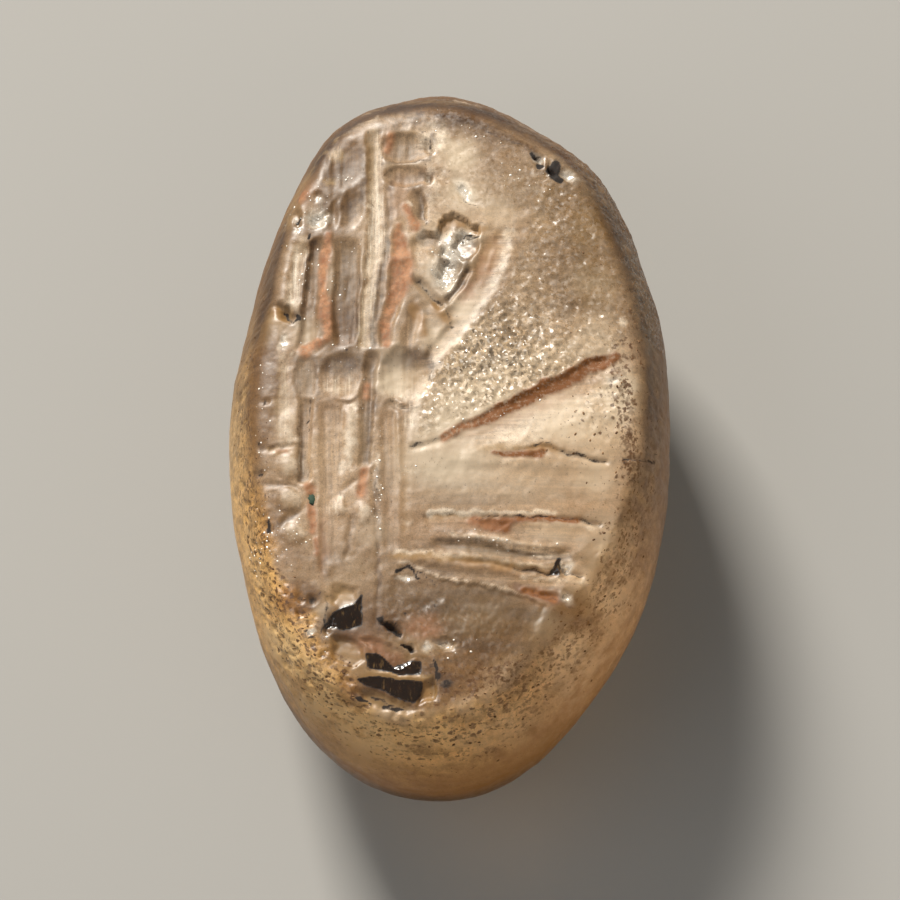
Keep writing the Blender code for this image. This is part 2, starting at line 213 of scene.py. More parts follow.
RAYS = (
    (((-1.3, -1.8), (-0.15, -1.4), (1, -0.74), (2.3, -0.1), (3.63, 0.54), (4.93, 1.22), (5.45, 1.5)),
     (0.26, 0.7), (0.12, 0.24), 1.7, 0.62),
    (((-0.2, -1.8), (1.2, -1.1), (2.6, -0.45), (3.9, 0.1), (5.4, 0.75)), (0.9, 2), (0.12, 0.3), 1.7, 0.6),
    (((1.5, -1.92), (2.2, -1.82), (3.1, -1.66), (3.6, -1.84), (4.3, -1.95), (5.2, -2.12)),
     (0.24, 0.18), (0.08, 0.2), 1.7, 0.5),
    (((1.6, -1.9), (2.5, -1.92), (3.3, -1.82)), (0.4, 0.34), (0.08, 0.14), 2, 0),
    (((-0.4, -2.5), (2.3, -2.85), (5.3, -3.05)), (0.8, 1.4), (0.05, 0.1), 2, 0.3),
    (((0.4, -4.12), (1.65, -4.2), (2.45, -4.13), (3.4, -4.1), (4.05, -4.15), (5, -4.32)), (0.2, 0.2),
     (0.1, 0.22), 1.7, 0.5),
    (((-0.8, -4.25), (1.2, -4.5), (3.4, -4.75), (4.6, -4.9)), (0.5, 0.9), (0.08, 0.12), 2, 0.2),
    (((-0.55, -5.05), (0.68, -5.15), (1.65, -5.27), (2.95, -5.4), (4, -5.35)), (0.42, 0.5),
     (0.2, 0.22), 2, 0.3),
    (((0.1, -5.6), (1, -5.67), (1.98, -5.82), (2.95, -5.96), (3.55, -5.97)), (0.2, 0.28), (0.1, 0.3),
     1.7, 0.4),
    (((3.72, -6), (4.4, -6.05)), (0.2, 0.2), (0.2, 0.2), 2, 0),
    (((-1.3, -5.85), (0.03, -6), (1.65, -6.2), (3.7, -6.42)), (0.4, 0.6), (0.1, 0.14), 2, 0.3),
    (((2.35, -6.55), (2.95, -6.72), (3.58, -6.92)), (0.3, 0.28), (0.18, 0.24), 2, 0.3),
    (((-1.7, -6.02), (-1.4, -5.9), (-1.2, -6), (-1, -6.2)), (0.16, 0.12), (0.18, 0.1), 2, -0.4),
    (((-1.03, -5.97), (-0.68, -6.2), (-0.46, -6.38)), (0.08, 0.12), (0.05, 0.12), 2, 0),
    (((5.75, -2.05), (6.5, -1.85), (6.95, -1.4)), (0.12, 0.1), (0.1, 0.08), 2, 0),
)
# Hollows: x, y, half sizes, depth, turn in degrees, power (2 is a bowl and more is a flat floor).
HOLLOWS = (
    (-3.57, 8.65, 0.78, 1.02, 0.26, 0, 2), (-3.25, 6.95, 0.42, 0.8, 0.26, -8, 2),
    (-3.85, 6.7, 0.2, 0.55, 0.3, 0, 2), (-4.45, 6.95, 0.55, 0.78, 0.16, 0, 3),
    (-4.4, 6.55, 0.27, 0.27, 0.4, 0, 2), (-4.37, 7.5, 0.17, 0.15, 0.26, 0, 2),
    (-4.07, 6.85, 0.13, 0.13, 0.26, 0, 2), (-5, 6.62, 0.15, 0.2, 0.36, 0, 2),
    (-1.5, 9.2, 0.92, 0.6, 0.42, 0, 3.4), (-0.7, 9.22, 0.2, 0.36, 0.5, 8, 2),
    (-1.43, 8.15, 0.84, 0.4, 0.36, 0, 3), (-0.72, 8.05, 0.16, 0.26, 0.4, 0, 2),
    (-4.7, 0.85, 0.4, 0.84, 0.2, 0, 6), (-3.55, 0.82, 0.72, 0.9, 0.16, 0, 5),
    (-1.45, 0.88, 0.86, 1.08, 0.42, 0, 3.4), (-4.43, -6.9, 0.2, 0.18, 0.24, 0, 2),
    (-4.8, -6.85, 0.16, 0.11, 0.18, 0, 2), (-1.38, -7.45, 0.13, 0.11, 0.16, 0, 2),
    (-0.5, -7.2, 0.13, 0.16, 0.16, 0, 2), (3.05, 8.62, 0.15, 0.11, 0.3, 0, 2),
    (-5.98, 0.05, 0.16, 0.14, 0.22, 0, 2), (-6.15, -1.55, 0.13, 0.24, 0.26, 0, 2),
    (-6.18, -2.5, 0.17, 0.17, 0.28, 0, 2), (-5.88, -4.4, 0.14, 0.26, 0.24, 30, 2),
)
# Swellings left standing between the cuts, in the same way, with their rise for the depth.
PADS = (
    (-5.28, -0.8, 0.3, 0.62, 0.06, 0, 2), (-5.25, -2.25, 0.4, 0.5, 0.1, 0, 2),
    (-5.2, -3.42, 0.48, 0.44, 0.11, 0, 2), (-5.05, -4.6, 0.42, 0.42, 0.08, 20, 2),
    (-3.6, -3.75, 0.3, 0.42, 0.07, 0, 2), (-2.78, -3.9, 0.32, 0.5, 0.08, 0, 2),
    (-3.22, -1.2, 0.2, 1.2, 0.05, 0, 2), (-2.35, 8, 0.1, 1.6, 0.03, 0, 2),
    (2, -4.95, 1.6, 0.14, 0.07, -8, 2), (-1.6, -9.48, 1.1, 0.07, 0.05, -8, 2),
)
# Broken flakes with flat walls: corners anticlockwise, wall slope, depth of the floor, its slope in X
# and Y.
FLAKES = (
    (((-0.07, 6.05), (0.03, 5.4), (0.36, 4.9), (0.73, 4.95), (1.03, 5.6), (0.96, 6.05), (0.43, 6.3)),
     1.2, 0.26, (0.2, -0.18)),
    (((0.5, 5.95), (0.62, 5.8), (0.92, 5.82), (0.94, 5.98), (0.6, 6.12)), 3, 0.34, (0, 0)),
    (((-0.1, 6), (-0.45, 5.45), (-0.3, 5.1), (0.2, 5.1), (0.15, 5.55)), 1.2, 0.28, (0.1, -0.3)),
    (((-0.4, 5.3), (-0.55, 4.4), (-0.1, 3.8), (0.3, 4.3), (0.36, 4.8), (0.15, 5.3)), 1.1, 0.26,
     (0.25, -0.2)),
    (((-3.83, -6.38), (-3.98, -6.95), (-3.57, -7.3), (-3.05, -7.05), (-2.9, -6.45)), 0.6, 0.1,
     (0.1, -0.12)),
    (((-3.78, -7), (-4, -7.85), (-4.15, -8.1), (-3.95, -8.15), (-3.7, -7.75)), 1.5, 0.12, (0, 0)),
    (((-3.1, -8.12), (-2.65, -8.5), (-2.15, -8.92), (-1.8, -9.25), (-1.3, -9.1), (-1, -8.85),
      (-1.5, -8.6), (-2.05, -8.33)), 1.6, 0.07, (0.03, 0.05)),
    (((-0.84, -9.66), (-0.98, -10.38), (-0.38, -10.28), (-0.44, -9.55)), 2.5, 0.16, (-0.1, 0)),
    (((-3.85, -8.1), (-3.75, -8.9), (-3.1, -9.3), (-2.7, -9), (-2.75, -8.5), (-3.2, -8.1)), 0.8, 0.12,
     (0.05, -0.05)),
    (((-3.1, -9.9), (-2.7, -10.6), (-1.5, -10.9), (-0.9, -10.6), (-1.2, -10.4), (-2.2, -10)), 0.8,
     0.16, (0, 0.05)),
    (((0.72, -4.17), (0.95, -4.47), (1.5, -4.6), (1.78, -4.64), (2.2, -4.17)), 0.8, 0.1, (0, 0)),
    (((3.66, -6.05), (4.05, -6.02), (3.68, -5.42)), 1.4, 0.14, (0, 0)),
    (((3.64, -6.85), (3.9, -7.05), (3.98, -6.7), (3.64, -6.42)), 1.2, 0.14, (0, 0)),
    (((3.25, 8.95), (3.33, 8.4), (3.47, 8.12), (3.78, 7.92), (3.6, 8.3), (3.72, 8.55), (3.72, 8.85)),
     3.5, 0.26, (0, 0)),
    (((3.72, 8.7), (3.6, 8.25), (3.85, 7.95), (4.3, 8.1), (4.2, 8.4)), 0.8, 0.14, (0, 0)),
    (((2.8, 8.95), (2.9, 8.6), (3.2, 8.55), (3.25, 8.95), (3, 9.1)), 1.2, 0.16, (0, 0)),
    (((-5.75, 3.5), (-5.6, 2.9), (-5.15, 2.75), (-4.95, 3), (-5.2, 3.4), (-5.45, 3.65)), 1.2, 0.3,
     (0.4, 0.1)),
    (((-5.3, 7), (-5.15, 6.35), (-4.85, 6.3), (-4.8, 6.8), (-5, 7)), 1.4, 0.16, (0, 0)),
    (((-0.62, -8.25), (-0.3, -8.62), (0.2, -8.6), (0.35, -8.35), (-0.1, -8.2)), 1.2, 0.14, (0, 0.2)),
    (((-2.2, -7.65), (-2.1, -7.85), (-1.5, -8.3), (-1.45, -8.1), (-2.05, -7.6)), 3, 0.26, (0, 0)),
    (((-1.55, -8.35), (-1.5, -8.5), (-1.1, -8.75), (-1.05, -8.55)), 3, 0.24, (0, 0)),
)
# Ragged steps, where a scale has broken off below a line: points, drop, how far it takes to rise again.
STEPS = (
    (((-0.83, 6.2), (-0.63, 6), (-0.37, 6), (-0.27, 6.4), (-0.1, 6.7), (0.1, 6.8), (0.37, 6.75),
      (0.57, 6.55), (0.7, 6.38), (0.93, 6.35), (1.02, 6.2), (1, 5.9)), 0.2, 0.8),
    (((-1.6, -5.65), (-0.3, -6.17), (0.68, -6.37), (1.65, -6.57), (2.6, -6.82), (3.3, -7.02)), 0.07, 1.2),
    (((-0.9, -3.97), (0.7, -4.02), (1.65, -4.02), (3.4, -4)), 0.06, 0.35),
    (((-3.85, 0.1), (-3.5, -0.05), (-3.2, -0.02), (-2.95, 0.12)), 0.05, 0.3),
    (((-2.1, 0), (-1.76, -0.07), (-1.43, -0.2), (-1.15, -0.16)), 0.12, 0.3),
)
# The looks into clear crystal that flakes have opened, painted black for the dark seen through them:
# outlines anticlockwise, strength.
WINDOWS = (
    (((-3.97, -7.8), (-3.5, -7.9), (-2.78, -7.8), (-2.77, -6.67), (-3.13, -7.08), (-3.45, -7.13),
      (-3.74, -7.33)), 1),
    (((-2.68, -8.72), (-2.62, -9.2), (-2.15, -9.32), (-1.6, -9.42), (-0.9, -9.46), (-0.9, -9.02),
      (-1.25, -8.95), (-1.8, -9.15), (-2.25, -8.78)), 1),
    (((-2.98, -9.56), (-2.6, -9.86), (-2.05, -10.08), (-1.45, -10.34), (-1.05, -10.38), (-0.9, -10.2),
      (-0.84, -9.68), (-1.6, -9.58), (-2.25, -9.5)), 1),
    (((3.33, -6), (3.6, -6.03), (3.64, -5.5), (3.54, -5.42)), 1),
)
# The years have rounded the cuts' edges over this spread, and left this share of their depth.
CUT_WEAR = 0.032
FIGURE_SHARE = 0.4
RAY_SHARE = 0.55
PLUNGE = 0.7  # the wheel comes down and lifts within this many stroke widths
WINDOW_DEPTH, WINDOW_EDGE = 0.015, 0.06

# The field that was pecked and never polished lies between these two lines, under the raised hand and
# over the first ray. It is strongest in the middle: centre, half sizes, least share.
HAND_EDGE = ((2.75, 7.0), (1.75, 4.3), (0.2, 2.1), (-0.95, 0.4), (-1.1, -1.2))
RAY_EDGE = ((-1.6, -1.75), (1.0, -0.5), (3.6, 0.8), (6.5, 2.2))
PECKED_MIDDLE = ((1.2, 1.5), (2.3, 1.9), 0.22)
PECKED_BELOW = ((5.1, 0.1), (1.0, 1.5), 0.26)  # a fainter patch past the ray: centre, half sizes, strength
PECKED_LOW = 0.14  # and a trace of it on the low field

# ----------------------------------------
# Marks that colour the face. Lines: points, width at start and end, strength. Spots: x, y, half
# sizes, turn, strength.
# ----------------------------------------

# Pale marks: partly pale worn crystal, partly painted highlights on the rim, on lit walls and bevels of the
# cuts, and on broken facets.
PALE_AND_HIGHLIGHT_LINES = (
    (((-4.85, 5.8), (-5.05, 4.85), (-5.2, 3.4)), (0.5, 0.4), 0.8),
    (((-2.5, 10), (-2.47, 8.35), (-2.44, 6.3), (-2.52, 5), (-2.7, 3.4), (-2.84, 1.9)), (0.5, 0.42), 0.9),
    (((-5.25, 6.9), (-5.1, 7.6), (-4.7, 8.6), (-4.1, 9.4), (-3.2, 10.1), (-2.4, 10.45)), (0.16, 0.2),
     0.5),
    (((-2.78, 7.08), (-2.3, 6.85)), (0.16, 0.2), 1),
    (((-2.7, 6.72), (-2.4, 6.66)), (0.1, 0.1), 0.7),
    (((-2.72, 6.52), (-2.42, 6.46)), (0.1, 0.1), 0.7),
    (((-5.4, 1.7), (-5.45, -0.2), (-5.3, -1.3)), (0.5, 0.6), 0.6),
    (((-3.1, -0.15), (-3.2, -1.2), (-3.35, -2.4)), (0.26, 0.3), 0.8),
    (((-2.38, -1.9), (-2.3, -2.6), (-2.22, -3.4)), (0.2, 0.12), 0.6),
    (((2.05, 6.1), (1.78, 4.85), (1.38, 3.85), (0.85, 3), (0.32, 2.3), (-0.25, 1.6), (-0.68, 0.8),
      (-1.05, -0.1), (-1.2, -1)), (0.4, 0.5), 0.6),
    (((0.6, -1.5), (2.3, -0.72), (3.63, -0.2), (4.93, 0.3), (5.5, 0.65)), (0.2, 0.3), 0.7),
    (((-0.6, -3.96), (0.7, -3.98), (1.65, -3.98), (3.4, -3.96)), (0.18, 0.22), 1.3),
    (((0.2, -4.72), (1, -4.83), (1.65, -4.98), (2.3, -5.17), (3.3, -5.3)), (0.22, 0.26), 0.7),
    (((-1.75, -5.3), (-0.3, -5.42), (1, -5.55), (2.3, -5.7), (3.5, -5.85)), (0.2, 0.16), 0.85),
    (((2.4, -6.1), (3.6, -6.2), (4.4, -6.25)), (0.16, 0.2), 0.6),
    (((-1.5, -5.7), (-0.3, -6.12), (0.68, -6.32), (1.65, -6.52), (2.6, -6.77), (3.3, -6.98)),
     (0.14, 0.12), 0.7),
    (((-1.6, -6.18), (-1.2, -6.2)), (0.1, 0.1), 1),
    (((-2.85, -9.22), (-2.2, -9.36), (-1.57, -9.44), (-0.93, -9.5), (-0.45, -9.5)), (0.09, 0.09), 0.8),
    (((-0.95, -9.56), (-0.44, -9.58), (-0.42, -10.1), (-0.7, -10.42)), (0.08, 0.08), 0.8),
    (((-2.75, -9.98), (-1.95, -10.26), (-1.2, -10.56)), (0.08, 0.08), 0.8),
    (((-2.2, -10.42), (-1.6, -10.45), (-1.1, -10.62)), (0.08, 0.1), 0.7),
)
PALE_AND_HIGHLIGHT_SPOTS = (
    (-2.6, 11, 0.6, 0.14, 15, 0.5), (0.6, 11.35, 0.9, 0.14, -8, 0.5), (2.6, 10.6, 0.9, 0.14, -28, 0.5),
    (-5.3, -0.9, 0.3, 0.5, 0, 0.5), (2.6, 8, 0.6, 0.5, -30, 0.3), (-0.45, 9.55, 0.5, 0.65, 0, 0.95),
    (-0.5, 7.9, 0.32, 1.3, 0, 0.5), (-3.75, 9.05, 0.3, 0.3, 30, 0.95), (-2.35, 9.9, 0.5, 0.2, 10, 0.5),
    (-0.85, 5.85, 0.22, 0.42, 10, 0.6), (-0.95, 5.1, 0.3, 0.6, 8, 0.35), (-4.35, 6.6, 0.3, 0.3, 0, 1.5),
    (-4.37, 7.45, 0.16, 0.12, 0, 1), (-5, 6.2, 0.16, 0.1, 10, 1), (-4.07, 6.85, 0.12, 0.12, 0, 0.9),
    (-4.55, 6.95, 0.4, 0.5, 0, 0.55), (-5.52, 2.15, 0.13, 0.3, -10, 1.1), (-5.2, 1.65, 0.1, 0.1, 0, 1),
    (-3.55, 0.5, 0.6, 0.36, 0, 0.5), (-1.6, 0.35, 0.6, 0.55, 0, 0.6), (-5.2, -2.2, 0.4, 0.4, 0, 0.6),
    (-5.15, -3.4, 0.4, 0.3, 0, 0.7), (-5, -4.55, 0.4, 0.3, 0, 0.6), (-3.6, -3.7, 0.3, 0.4, 0, 0.5),
    (-2.75, -3.9, 0.3, 0.5, 0, 0.6), (-0.6, -0.8, 0.7, 0.6, 30, 0.5), (3, -0.75, 2, 0.75, 25, 0.95),
    (4.2, -0.7, 1, 0.9, 0, 0.45), (5.38, 0.8, 0.26, 0.14, 10, 1.1), (5.7, 2.9, 0.12, 0.2, 0, 1),
    (0.55, 7.55, 0.5, 0.24, -55, 1.3), (2.1, 2, 1.6, 1, 35, 0.5), (-1.35, -4.3, 0.26, 0.14, 0, 0.6),
    (-1.35, -2.55, 0.3, 0.12, -20, 0.7), (3.82, -5.8, 0.16, 0.24, 30, 0.9),
    (3.8, -6.8, 0.14, 0.24, 30, 0.9), (4.6, -4.4, 0.2, 0.18, 0, 0.8), (3, 8.9, 0.2, 0.14, -30, 1),
    (4, 8.25, 0.34, 0.22, -40, 0.9), (-4.37, -7.95, 0.13, 0.13, 0, 1.1),
    (-0.72, -8.52, 0.15, 0.15, 0, 1.1), (-0.1, -8.45, 0.34, 0.12, -20, 0.9),
    (-1.35, -8.9, 0.26, 0.12, 0, 0.8), (-0.2, 6.1, 0.25, 0.2, 40, 0.9), (0.5, 6.22, 0.32, 0.1, 0, 0.9),
    (0, 5.45, 0.24, 0.5, 10, 1), (-0.42, 4.8, 0.16, 0.4, 0, 0.9), (-0.08, 4.2, 0.3, 0.34, 30, 1),
    (0.3, 6, 0.3, 0.14, 20, 0.9), (-0.72, 9.3, 0.1, 0.1, 0, 1), (-0.72, 8.12, 0.1, 0.09, 0, 1),
    (-1.35, 7.08, 0.1, 0.1, 0, 1.1), (-4, 8, 0.24, 0.1, 0, 0.7), (-3.98, 8, 0.15, 0.12, 0, 0.8),
)
# Soft brown marks: partly dirt worked into the surface, partly painted shade on the walls and upper edges
# of the cuts.
BROWN_DIRT_AND_SHADE_LINES = (
    (((-3.6, 10.1), (-2.4, 10.75), (-1, 11.1), (0.6, 11.1), (2.2, 10.5), (3.4, 9.5)), (0.5, 0.6), 0.8),
    (((-3.8, 10.1), (-4.6, 9.3), (-5.1, 8.4), (-5.5, 7.3)), (0.5, 0.7), 0.85),
    (((-5.4, 7.2), (-5.75, 5.8), (-6, 4.2), (-6.3, 2.6)), (0.8, 0.8), 0.7),
    (((-4.5, 8.9), (-4.85, 8.1), (-4.95, 7.6)), (0.4, 0.3), 0.6),
    (((4.2, 8.2), (5.3, 6.3), (6.05, 4.3), (6.35, 2.2)), (0.5, 0.7), 0.5),
    (((-1.4, 10.5), (0, 10.35), (1, 10.05), (1.9, 9.6), (2.9, 9.15)), (0.5, 0.4), 0.85),
    (((-2.2, 10.2), (-1, 10.1), (0.3, 10), (1.4, 9.6)), (0.9, 0.7), 0.6),
    (((-2.6, 10.6), (-1.2, 10.9), (0, 10.85), (1.4, 10.4), (2.9, 9.6)), (0.6, 0.5), 0.6),
    (((-3, 9.2), (-2.9, 8.6), (-2.9, 7.7), (-3.05, 7)), (0.22, 0.2), 0.6),
    (((-4.3, 8.2), (-3.6, 8.15), (-3.1, 8.25)), (0.3, 0.3), 0.3),
    (((-2.62, 9.9), (-2.7, 9.3), (-2.66, 8.4)), (0.1, 0.1), 0.5),
    (((-4.5, 5.75), (-4.65, 4.85), (-4.82, 3.75), (-4.95, 2.7)), (0.24, 0.16), 0.75),
    (((-2.92, 5.7), (-2.96, 4.6), (-3.06, 3), (-3.1, 2.2)), (0.16, 0.12), 0.5),
    (((-3.45, 5.3), (-3.38, 4.2), (-3.28, 2.6)), (0.26, 0.2), 0.45),
    (((-3.85, 3.9), (-3.72, 3), (-3.7, 2.2)), (0.14, 0.14), 0.35),
    (((-1.92, 7.9), (-1.98, 6.7), (-2.08, 5.75), (-2.26, 4.3), (-2.44, 2.85), (-2.52, 2)), (0.2, 0.24),
     0.9),
    (((-2.6, 6.9), (-2.6, 6.2)), (0.1, 0.1), 0.2),
    (((-4.1, 1.3), (-3.5, 1.3), (-2.95, 1.36)), (0.62, 0.62), 0.85),
    (((-2.15, 1.45), (-1.5, 1.45), (-0.85, 1.62)), (0.5, 0.7), 0.9),
    (((-2.6, 1.75), (-2.56, 1), (-2.56, 0.3)), (0.36, 0.34), 0.75),
    (((-5, 1.55), (-4.7, 1.6), (-4.3, 1.5)), (0.3, 0.3), 0.6),
    (((-4.95, 1.4), (-4.98, 0.3)), (0.16, 0.16), 0.5),
    (((-4.3, 1.3), (-4.28, 0.2), (-4.3, -0.5)), (0.12, 0.12), 0.6),
    (((-4.85, -0.1), (-4.88, -1.4), (-4.8, -2.7)), (0.26, 0.24), 0.7),
    (((-2.5, -0.1), (-2.62, -0.8), (-2.7, -2.1)), (0.36, 0.4), 0.7),
    (((-2.1, -0.2), (-1.4, -0.4), (-0.95, -0.2)), (0.12, 0.12), 0.6),
    (((-3.9, 0.05), (-3.4, -0.1), (-2.95, 0.15)), (0.12, 0.12), 0.6),
    (((-2.28, -2.5), (-2.35, -3.55), (-2.28, -5.6), (-2.26, -6.9)), (0.2, 0.14), 0.65),
    (((-3.05, -2.75), (-3.45, -3.2), (-3.75, -3.25)), (0.2, 0.12), 0.4),
    (((-3.1, -4), (-3.18, -4.6), (-3.35, -5.3)), (0.2, 0.16), 0.5),
    (((-4.1, -4.3), (-4.05, -5.3), (-3.9, -6.2)), (0.24, 0.3), 0.45),
    (((-3.95, -0.2), (-3.95, -2.4), (-3.98, -4)), (0.1, 0.1), 0.35),
    (((-3.72, -0.2), (-3.7, -2)), (0.08, 0.08), 0.3),
    (((-6, -1.66), (-5.5, -1.5), (-5, -1.5)), (0.22, 0.14), 0.7),
    (((-6, -2.85), (-5.4, -2.9), (-4.95, -2.95)), (0.2, 0.14), 0.55),
    (((-5.6, -4.3), (-5.2, -4.05), (-4.85, -3.8)), (0.26, 0.16), 0.6),
    (((-2.2, 8.72), (-1.5, 8.64), (-0.75, 8.74)), (0.16, 0.14), 0.75),
    (((-1.85, 9.25), (-1.2, 9.3), (-0.9, 9.2)), (0.1, 0.1), 0.45),
    (((-1.85, 9), (-1.3, 9.02), (-0.95, 8.95)), (0.1, 0.1), 0.45),
    (((-2, 8.2), (-1.3, 8.1), (-0.9, 8.15)), (0.3, 0.3), 0.45),
    (((-0.55, 9.7), (-0.52, 9.2), (-0.68, 8.8)), (0.2, 0.16), 0.85),
    (((-0.95, 8.36), (-0.6, 8.15), (-0.6, 7.85)), (0.14, 0.16), 0.75),
    (((-1.15, 7.7), (-0.9, 7.2), (-0.85, 6.5)), (0.34, 0.34), 0.8),
    (((-1.7, 7.6), (-1.75, 6.6)), (0.2, 0.16), 0.4),
    (((-1.2, 4.45), (-0.75, 3.98), (-0.2, 3.36)), (0.26, 0.3), 0.9),
    (((0.6, 5.1), (0.5, 4.5), (0.4, 4.2), (-0.05, 3.5)), (0.2, 0.3), 0.85),
    (((0.75, 5.9), (0.9, 5.5), (0.8, 4.95)), (0.3, 0.2), 0.65),
    (((-0.65, 3.1), (-0.35, 2.6)), (0.3, 0.2), 0.35),
    (((-1.1, 3.7), (-1.35, 3.1)), (0.2, 0.3), 0.5),
    (((-1.3, -1.68), (-0.15, -1.2), (1, -0.5), (2.3, 0.18), (3.63, 0.85), (4.93, 1.55), (5.5, 1.8)),
     (0.12, 0.16), 0.45),
    (((1.9, -1.85), (2.6, -1.78), (3.4, -1.75)), (0.34, 0.3), 0.55),
    (((3.2, -1.62), (3.9, -1.85), (4.6, -1.95), (5.3, -2.15)), (0.16, 0.16), 0.8),
    (((1.6, -4.12), (2.6, -4.1), (3.4, -4.08), (4.05, -4.12), (5, -4.32)), (0.16, 0.1), 0.8),
    (((1, -4.3), (1.7, -4.45), (2.2, -4.2)), (0.4, 0.3), 0.7),
    (((0.6, -5.62), (1.2, -5.7), (2, -5.85)), (0.2, 0.24), 0.75),
    (((2.1, -5.8), (2.95, -5.92), (3.6, -5.96)), (0.26, 0.26), 0.9),
    (((2.2, -6.45), (2.9, -6.72), (3.5, -6.9)), (0.26, 0.36), 0.8),
    (((-1.35, -1.75), (-0.3, -1.45)), (0.16, 0.12), 0.7),
    (((5.6, 1.9), (5.75, 0.5), (5.85, -1), (5.8, -2.6)), (0.4, 0.4), 0.3),
)
BROWN_DIRT_AND_SHADE_SPOTS = (
    (-3.5, -7.97, 0.5, 0.28, 0, 0.8), (-4, -7.6, 0.25, 0.5, -15, 0.7),
    (-1.9, -8.85, 0.9, 0.25, -20, 0.7), (-0.3, -9.75, 0.4, 0.32, 0, 0.8),
    (-2.7, -10, 0.5, 0.25, -20, 0.7), (-1.6, -10.45, 0.7, 0.2, -12, 0.5),
    (-1.9, -7.9, 0.5, 0.3, -40, 0.6), (-2.66, -1.2, 0.2, 1.2, 0, 0.5), (-0.2, 10.3, 0.9, 0.3, 0, 0.6),
    (1.4, 9.9, 0.7, 0.25, -15, 0.7), (-4.2, 7.3, 0.3, 0.5, 0, 0.4), (-3.25, 6.95, 0.34, 0.5, -20, 0.6),
    (-3.5, 8.3, 0.6, 0.5, 0, 0.3), (-1.4, 9.2, 0.75, 0.45, 0, 0.35), (-3.37, 4, 0.4, 1.6, 0, 0.3),
    (-1.5, 1.75, 0.7, 0.3, 0, 0.5), (-0.65, 1.2, 0.16, 0.6, 5, 0.8), (-4.1, -8, 0.5, 0.5, 0, 0.3),
    (-3.2, -7.4, 0.5, 0.5, 0, 0.5), (-2.6, -8.9, 0.6, 0.5, 20, 0.3), (1, -8.6, 0.8, 0.5, -10, 0.35),
    (-4.5, -6.9, 0.6, 0.5, 0, 0.45), (0.2, -7.9, 0.8, 0.3, 0, 0.3), (3.3, 8.5, 0.6, 0.3, -35, 0.5),
    (-5.3, 3.1, 0.5, 0.5, 0, 0.6), (-5.2, 6.5, 0.3, 0.5, 0, 0.5), (5.9, -2.2, 0.5, 0.6, 0, 0.4),
    (-0.35, -2.8, 0.3, 0.14, 10, 0.35), (-5.4, 0.3, 0.2, 0.5, 0, 0.3),
)
